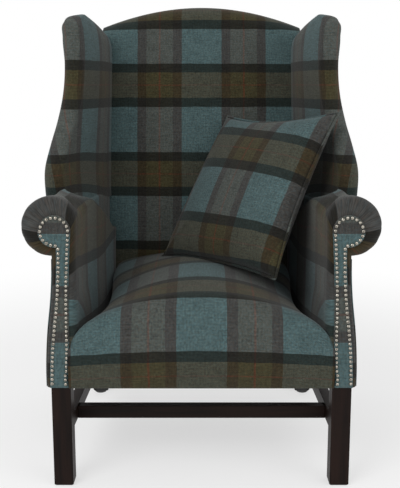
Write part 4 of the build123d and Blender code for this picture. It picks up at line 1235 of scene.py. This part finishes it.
def piping_mesh():
    """Corded edge round the seam, covered in the same cloth."""
    turn = np.array(CUSHION_TURN)
    ring = points_of(cushion.data)[seam_ring]
    ahead = unit(np.roll(ring, -1, 0) - np.roll(ring, 1, 0))
    out = unit(np.cross(ahead, turn[:, 2]))
    if ((ring - ring.mean(0)) * out).sum() < 0:
        out = -out
    up = np.cross(out, ahead)
    centre = ring + out * PIPING_OUT * MM
    flat = (ring / MM - in_scene(CUSHION_MIDDLE) / MM) @ turn
    spots = np.array([cushion_cloth(x, y) for x, y in flat[:, :2]])
    angle = np.linspace(0, 2 * math.pi, PIPING_SIDES, endpoint=False)
    round_cord = np.linspace(0, 2 * math.pi * PIPING_RADIUS, PIPING_SIDES + 1) * PIPING_BIAS
    rows, cloth = [], []
    for index in [*range(len(ring)), 0]:
        rows.append(centre[index] + PIPING_RADIUS * MM * (np.outer(np.cos(angle), out[index])
                                                          + np.outer(np.sin(angle), up[index])))
        cloth.append(np.stack([spots[index, 0] + round_cord, spots[index, 1] + round_cord], 1))
    drawn = np.array(rows) / MM
    drawn[..., 1] -= FRONT_PLANE / MM
    piece = cover("scatter_cushion_cord", drawn, cloth, caps=False)
    edited(piece.data, lambda data: bmesh.ops.remove_doubles(data, verts=data.verts,
                                                             dist=WELD_DISTANCE))
    closed = np.vstack([centre, centre[:1]])
    print("cushion cord", round(float(lengths(closed)[-1]), 3), "m long")
    return outward(piece)


piping = piping_mesh()
move_points(piping.data, pushed_out(points_of(piping.data), (seat, back), CORD_GAP))
count_faces(piping)

# %% [markdown]
# ## Nailed edge
# Close nails hold the facings on. Each is a low dome of antiqued bronze. A line is drawn just
# inside the facing, Geometry Nodes put a nail at every step along it with a little wobble of the
# hand, and the result is turned into one plain mesh for both facings.

# %% Nail line
NAIL_PITCH, NAIL_RADIUS, NAIL_RISE, NAIL_INSET = 10.0, 4.1, 2.9, 5.2
NAIL_WOBBLE = 0.3
NAIL_SEGMENTS, NAIL_RINGS = 12, 6
NAIL_FRONT = -5.4        # face of the board
LOWEST_NAIL = 5.5        # above the underside of the rail


def nail_line():
    """Two lines along which the nails go, from foot to foot over each scroll."""
    outline, used = facing_outline(NAIL_INSET)
    line = outline[:used][outline[:used, 1] > RAIL_UNDERSIDE + LOWEST_NAIL]
    curve = bpy.data.curves.new("nail_line", "CURVE")
    curve.dimensions = "3D"
    for side in (1, -1):
        spline = curve.splines.new("POLY")
        spline.points.add(len(line) - 1)
        for point, (x, z) in zip(spline.points, line):
            point.co = (*in_scene((side * x, NAIL_FRONT, z)), 1)
    return placed("nail_line", curve)


# %% Nail inputs
def nail_sockets(tree):
    """Give the nail tree its named inputs and its output; say which identifier each input has."""
    tree.interface.new_socket("Line", in_out="INPUT", socket_type="NodeSocketGeometry")
    named = {}
    for label, value in (("Pitch", NAIL_PITCH), ("Radius", NAIL_RADIUS), ("Rise", NAIL_RISE),
                         ("Wobble", NAIL_WOBBLE)):
        made = tree.interface.new_socket(label, in_out="INPUT", socket_type="NodeSocketFloat")
        made.default_value = value * MM
        named[label] = made.identifier
    finish = tree.interface.new_socket("Finish", in_out="INPUT", socket_type="NodeSocketMaterial")
    named["Finish"] = finish.identifier
    tree.interface.new_socket("Nails", in_out="OUTPUT", socket_type="NodeSocketGeometry")
    return named


# %% Nail shape
def nail_dome(tree, given):
    """A smooth ball and the scale that flattens it to a dome."""
    ball = node(tree, "GeometryNodeMeshUVSphere", {"Segments": NAIL_SEGMENTS, "Rings": NAIL_RINGS,
                                                   "Radius": 1.0})
    smooth = node(tree, "GeometryNodeSetShadeSmooth")
    tree.links.new(ball.outputs["Mesh"], smooth.inputs[0])
    shape = node(tree, "ShaderNodeCombineXYZ")
    for index, label in enumerate(("Radius", "Rise", "Radius")):
        tree.links.new(given.outputs[label], shape.inputs[index])
    return smooth.outputs[0], shape.outputs[0]


# %% Nails along the line
def nail_tree():
    """Nodes that put domed nails along a line."""
    tree = bpy.data.node_groups.new("nails_along_line", "GeometryNodeTree")
    named = nail_sockets(tree)
    links = tree.links
    given, result = node(tree, "NodeGroupInput"), node(tree, "NodeGroupOutput")
    steps = node(tree, "GeometryNodeResampleCurve", mode="LENGTH")
    links.new(given.outputs["Line"], steps.inputs["Curve"])
    links.new(given.outputs["Pitch"], steps.inputs["Length"])
    dome, shape = nail_dome(tree, given)
    place = node(tree, "GeometryNodeInstanceOnPoints")
    links.new(steps.outputs["Curve"], place.inputs["Points"])
    links.new(dome, place.inputs["Instance"])
    links.new(shape, place.inputs["Scale"])
    wobble = node(tree, "FunctionNodeRandomValue", {"Seed": 7}, data_type="FLOAT_VECTOR")
    wobble.inputs[0].default_value = (-1, -0.4, -1)
    wobble.inputs[1].default_value = (1, 0.4, 1)
    size = node(tree, "ShaderNodeVectorMath", operation="SCALE")
    links.new(wobble.outputs[0], size.inputs[0])
    links.new(given.outputs["Wobble"], size.inputs["Scale"])
    shift = node(tree, "GeometryNodeTranslateInstances")
    links.new(place.outputs[0], shift.inputs["Instances"])
    links.new(size.outputs[0], shift.inputs["Translation"])
    real = node(tree, "GeometryNodeRealizeInstances")
    links.new(shift.outputs[0], real.inputs[0])
    dressed = node(tree, "GeometryNodeSetMaterial")
    links.new(real.outputs[0], dressed.inputs["Geometry"])
    links.new(given.outputs["Finish"], dressed.inputs["Material"])
    links.new(dressed.outputs[0], result.inputs[0])
    return tree, named


# %% Nails
def made_plain(item, name):
    """Turn what the nodes made on an object into a plain mesh piece of its own."""
    depsgraph = bpy.context.evaluated_depsgraph_get()
    mesh = bpy.data.meshes.new_from_object(item.evaluated_get(depsgraph), depsgraph=depsgraph)
    item.modifiers.clear()
    bpy.data.objects.remove(item)
    return placed(name, mesh)


line_item = nail_line()
tree, sockets = nail_tree()
nodes = line_item.modifiers.new("nails", "NODES")
nodes.node_group = tree
nodes[sockets["Pitch"]] = NAIL_PITCH * MM
nodes[sockets["Finish"]] = BRONZE
nails = made_plain(line_item, "facing_nails")
print("nails:", len(nails.data.polygons) // (NAIL_SEGMENTS * NAIL_RINGS))

# %% [markdown]
# ## Outside covers
# The outside arms, wings and back are plain sheets, stretched over the frame and tacked. Each is
# a grid of points just proud of what it covers, with Solidify for its thickness, and the flat
# size that it was cut to is measured and printed. Nothing in them hangs free, so they need no
# simulation.

# %% Sheet helper
SHEET_THICKNESS = 1.3
PROUD = 0.5              # a sheet lies this far outside what it covers


def thicken(piece):
    """Give a sheet its thickness, outward."""
    thick = piece.modifiers.new("thickness", "SOLIDIFY")
    thick.thickness = SHEET_THICKNESS * MM
    thick.offset = 1
    return piece


def sheet_piece(name, rows, cloth, facing):
    """Thin stretched sheet over rows of points, with its face towards a direction."""
    piece = cover(name, rows, cloth, wrap=False)
    mean = sum((face.normal * face.area for face in piece.data.polygons), Vector())
    if mean.dot(Vector(facing)) < 0:
        piece.data.flip_normals()
    return thicken(piece)


def cut_size(piece, rows):
    """Flat size and area of the cut, in metres."""
    rows = np.asarray(rows, float)
    wide = max(lengths(row)[-1] for row in rows) * MM
    long = max(lengths(rows[:, i])[-1] for i in range(rows.shape[1])) * MM
    area = sum(face.area for face in piece.data.polygons)
    print(piece.name, "cut", round(wide, 3), "x", round(long, 3), "m")
    return (round(wide, 4), round(long, 4)), min(area, wide * long)


# %% Outside arms
def outside_arm_rows():
    """Rows of the right outside arm, from under the scroll to the bottom of the rail."""
    rows = []
    for y in np.linspace(9, 630, 44):
        share = np.clip((y - ARM_PADDING) / (ARM_INNER_LENGTH - ARM_PADDING), 0, 1)
        line = between(PADDED_LINE, REAR_LINE, share)
        if y < ARM_PADDING:
            turn = math.acos(1 - y / ARM_PADDING)
            line = between(FACING_LINE, PADDED_LINE, math.sin(turn))
        section = arm_section(line)[-OUTER_STEPS:]
        section[:, 0] += PROUD
        rows.append(np.insert(section, 1, y, axis=1))
    return rows


arm_rows = outside_arm_rows()
arm_spots = [np.stack([row[:, 1] + 35, row[:, 2] - RAIL_UNDERSIDE + ARM_WEFT_SHIFT], 1)
             for row in arm_rows]
outside_arm_right = sheet_piece("outside_arm_right", arm_rows, arm_spots, (1, 0, 0))
outside_arm_left = thicken(mirrored(outside_arm_right, "outside_arm_left"))
arm_cut = cut_size(outside_arm_right, arm_rows)

# %% Outside wings
NOSE_BARE = 14           # the sheet starts this far behind the wing's nose


def outside_wing_rows():
    """Rows of the right outside wing, from near its foot to near its top."""
    rows = []
    for share in np.linspace(0.08, 0.9, 40):
        outer = wing_at(share)[0][:WING_COLUMNS[0] + 1]
        outer = evenly(outer[outer[:, 1] > outer[-1, 1] + NOSE_BARE], 24)
        outer[:, 0] += PROUD
        rows.append(outer)
    return rows


wing_rows = outside_wing_rows()
wing_spots = [np.stack([row[:, 1] - 210, row[:, 2] - BACK_WEFT_START], 1) for row in wing_rows]
outside_wing_right = sheet_piece("outside_wing_right", wing_rows, wing_spots, (1, 0, 0))
outside_wing_left = thicken(mirrored(outside_wing_right, "outside_wing_left"))
wing_cut = cut_size(outside_wing_right, wing_rows)

# %% Outside back
BACK_LOW_HALF, BACK_HIGH_HALF, BACK_CORNER = 327, 290, 262
BACK_ENDS, BACK_TOP, CORNER_FALL = 1023, 1070, 20


def outside_back_top(x):
    """Height of the top edge of the outside back."""
    x = abs(x)
    if x > BACK_CORNER:
        return BACK_ENDS - (x - BACK_CORNER) / (BACK_HIGH_HALF - BACK_CORNER) * CORNER_FALL
    return BACK_ENDS + (BACK_TOP - BACK_ENDS) * (1 - (x / BACK_CORNER) ** 2)


def outside_back_rows():
    """Upright rows of the outside back, from one side to the other."""
    rows, low = [], RAIL_UNDERSIDE + 1
    for share in np.linspace(-1, 1, 61):
        z = low + np.linspace(0, 1, 60) * (outside_back_top(share * BACK_HIGH_HALF) - low)
        half = np.interp(z, [RAIL_UNDERSIDE, BACK_ENDS - CORNER_FALL], [BACK_LOW_HALF, BACK_HIGH_HALF])
        rows.append(np.stack([share * half, rear_y(z) + 0.4, z], 1))
    return rows


outside_rows = outside_back_rows()
outside_spots = [np.stack([row[:, 0], row[:, 2] - BACK_WEFT_START], 1) for row in outside_rows]
outside_back = sheet_piece("outside_back", outside_rows, outside_spots, (0, 1, 0))
outside_cut = cut_size(outside_back, outside_rows)

# %% Dust cover
DUST_FRONT, DUST_LENGTH = 10, 569
DUST_HALF_FRONT, DUST_HALF_REAR = 325.5, 310.5
FRONT_LEG_INNER, FRONT_LEG_BACK = 286, 46
BACK_LEG_INNER, BACK_LEG_FRONT = 273, 530
DUST_SAG = 3.0


def dust_rows():
    """Rows of the dust cover, from front to back, with a slight sag."""
    depths = np.array([DUST_FRONT + 0.5, FRONT_LEG_BACK, *np.linspace(62, 515, 22), BACK_LEG_FRONT, 578])
    inner = np.array([FRONT_LEG_INNER, BACK_LEG_INNER, *np.linspace(256, 0, 16)])
    rows = []
    for y in depths:
        share = (y - DUST_FRONT) / DUST_LENGTH
        half = DUST_HALF_FRONT + (DUST_HALF_REAR - DUST_HALF_FRONT) * share
        xs = np.concatenate([[-half], -inner, inner[-2::-1], [half]])
        sag = DUST_SAG * np.cos(xs / half * math.pi / 2) * math.sin(math.pi * share)
        rows.append(np.stack([xs, np.full_like(xs, y), RAIL_UNDERSIDE - 0.1 - sag], 1))
    return rows


def cut_round_legs(data):
    """Take away the faces of the dust cover that would lie in a leg."""
    gone = []
    for face in data.faces:
        middle = face.calc_center_median() / MM
        x, y = abs(middle.x), middle.y - FRONT_PLANE / MM
        at_front = x > FRONT_LEG_INNER and y < FRONT_LEG_BACK
        if at_front or (x > BACK_LEG_INNER and y > BACK_LEG_FRONT):
            gone.append(face)
    bmesh.ops.delete(data, geom=gone, context="FACES")


under_rows = dust_rows()
under_cloth = sheet_piece("under_cloth", under_rows, [row[:, :2] for row in under_rows], (0, 0, -1))
edited(under_cloth.data, cut_round_legs)
under_cut = cut_size(under_cloth, under_rows)

# %% [markdown]
# ## Bodies, finishes and what each piece stands for
# Each piece is told which body it moves with, and the solids that it takes the place of are hidden.

for piece, nodes_for, fill in (
        (arm_right, ("arm_pad_right", "inside_arm_cover_right"), 0.85),
        (arm_left, ("arm_pad_left", "inside_arm_cover_left"), 0.85),
        (seat, ("seat_pad", "seat_cover"), 0.9),
        (back, ("back_pad", "inside_back_cover"), 0.85),
        (wing_right, ("wing_pad_right", "inside_wing_cover_right"), 0.85),
        (wing_left, ("wing_pad_left", "inside_wing_cover_left"), 0.85),
        (facing_right, ("arm_facing_right",), 0.9), (facing_left, ("arm_facing_left",), 0.9)):
    finish_piece(piece, "chair", "tartan_wool", TARTAN, *nodes_for)
finish_piece(cushion, "scatter_cushion", "tartan_wool", TARTAN, "scatter_cushion_cover",
             "scatter_cushion_filling")
finish_piece(piping, "scatter_cushion", "tartan_wool", TARTAN, "scatter_cushion_piping")
finish_piece(nails, "chair", "spring_steel", BRONZE)       # the nails are antique bronze; the record's only slot for metal

for piece, node_name, (flat, area), rests in (
        (outside_arm_right, "outside_arm_cover_right", arm_cut, "side_seat_rail_right"),
        (outside_arm_left, "outside_arm_cover_left", arm_cut, "side_seat_rail_left"),
        (outside_wing_right, "outside_wing_cover_right", wing_cut, "wing_post_right"),
        (outside_wing_left, "outside_wing_cover_left", wing_cut, "wing_post_left"),
        (outside_back, "outside_back_cover", outside_cut, "back_top_rail")):
    finish_piece(piece, "chair", "tartan_wool", TARTAN, node_name)
finish_piece(under_cloth, "chair", "black_cloth", LINING, "dust_cover")

# %% [markdown]
# ## Camera, light and floor
# The camera stands 1.8 m in front of the chair at chest height, as the leaning lines of the chair
# say. Two large soft lamps and an even world light it at a plain level. The background is white
# only for the camera and for gloss, so it adds no light.

# %% Camera
CAMERA_AWAY, CAMERA_HEIGHT = 1.80, 0.891
CAMERA_DOWN = 10.55      # degrees below level
PICTURE_HEIGHT = 488     # in pixels, as are the next two
FOCAL_LENGTH, MIDDLE_SHIFT = 855, 1.5
SENSOR = 36
camera_data = bpy.data.cameras.new("camera")
camera = placed("camera", camera_data)
bpy.context.scene.camera = camera
camera.location = (0, FRONT_PLANE - CAMERA_AWAY, CAMERA_HEIGHT)
camera.rotation_euler = (math.radians(90 - CAMERA_DOWN), 0, 0)
camera_data.sensor_width = SENSOR
camera_data.lens = FOCAL_LENGTH * SENSOR / PICTURE_HEIGHT
camera_data.shift_x = -MIDDLE_SHIFT / PICTURE_HEIGHT
print("lens", round(camera_data.lens, 1), "mm")


# %% World
def seen_directly(tree, *rays):
    """One where a surface is seen by one of the kinds of ray, and nought elsewhere."""
    path = node(tree, "ShaderNodeLightPath")
    seen = path.outputs["Is Camera Ray"]
    for ray in rays:
        seen = math_node(tree, "MAXIMUM", seen, path.outputs[ray])
    return seen


def blend(tree, share, first, second, output):
    """Mix two shaders into an output node."""
    mixed = node(tree, "ShaderNodeMixShader")
    for value, socket in zip((share, first, second), mixed.inputs):
        tree.links.new(value, socket)
    tree.links.new(mixed.outputs[0], tree.nodes[output].inputs[0])


WORLD_LEVEL = 0.66
world = bpy.data.worlds.new("studio")
bpy.context.scene.world = world
world.use_nodes = True
tree = world.node_tree
soft = tree.nodes["Background"]
set_inputs(soft, {"Color": WHITE, "Strength": WORLD_LEVEL})
paper = node(tree, "ShaderNodeBackground", {"Color": WHITE, "Strength": 1.0})
seen = seen_directly(tree, "Is Glossy Ray", "Is Transmission Ray")
blend(tree, seen, soft.outputs[0], paper.outputs[0], "World Output")
print("world level", WORLD_LEVEL)

# %% Lamps
LAMP_TARGET = Vector((0, 0, 0.5))


def lamp(name, place, size, power):
    """Soft square lamp aimed at the seat."""
    data = bpy.data.lights.new(name, "AREA")
    data.shape = "SQUARE"
    data.size = size
    data.energy = power
    item = placed(name, data)
    item.location = place
    item.rotation_euler = (LAMP_TARGET - Vector(place)).to_track_quat("-Z", "Y").to_euler()


lamp("key", (-1.6, -2.6, 2.6), 1.8, 46)
lamp("fill", (2.2, -2.2, 1.6), 2.0, 17)
print("lamps:", len(bpy.data.lights))

# %% Floor
FLOOR_HALF, FLOOR_GREY = 30, 0.93
PAPER_FROM, PAPER_TO = 0.7, 2.2        # distances over which the floor turns to white paper
PAPER_NEAR = 0.58
floor_mesh = bpy.data.meshes.new("floor")
floor_mesh.from_pydata([(-FLOOR_HALF, -FLOOR_HALF, 0), (FLOOR_HALF, -FLOOR_HALF, 0),
                        (FLOOR_HALF, FLOOR_HALF, 0), (-FLOOR_HALF, FLOOR_HALF, 0)], [], [(0, 1, 2, 3)])
floor = placed("floor", floor_mesh)
floor_paint, tree, shader = new_material("floor_paint")
set_inputs(shader, {"Base Color": (FLOOR_GREY, FLOOR_GREY, FLOOR_GREY, 1), "Roughness": 0.95,
                    "Specular IOR Level": 0.0})
distance = node(tree, "ShaderNodeVectorMath", operation="LENGTH")
tree.links.new(node(tree, "ShaderNodeTexCoord").outputs["Object"], distance.inputs[0])
far = node(tree, "ShaderNodeMapRange", {"From Min": PAPER_FROM, "From Max": PAPER_TO},
           interpolation_type="SMOOTHSTEP")
tree.links.new(distance.outputs["Value"], far.inputs[0])
paper = node(tree, "ShaderNodeEmission", {"Strength": 1.0})
lift = math_node(tree, "ADD", math_node(tree, "MULTIPLY", far.outputs[0], 1 - PAPER_NEAR), PAPER_NEAR)
share = math_node(tree, "MULTIPLY", seen_directly(tree, "Is Glossy Ray"), lift)
blend(tree, share, shader.outputs[0], paper.outputs[0], "Material Output")
floor_mesh.materials.append(floor_paint)
bpy.context.scene.view_settings.view_transform = "Standard"
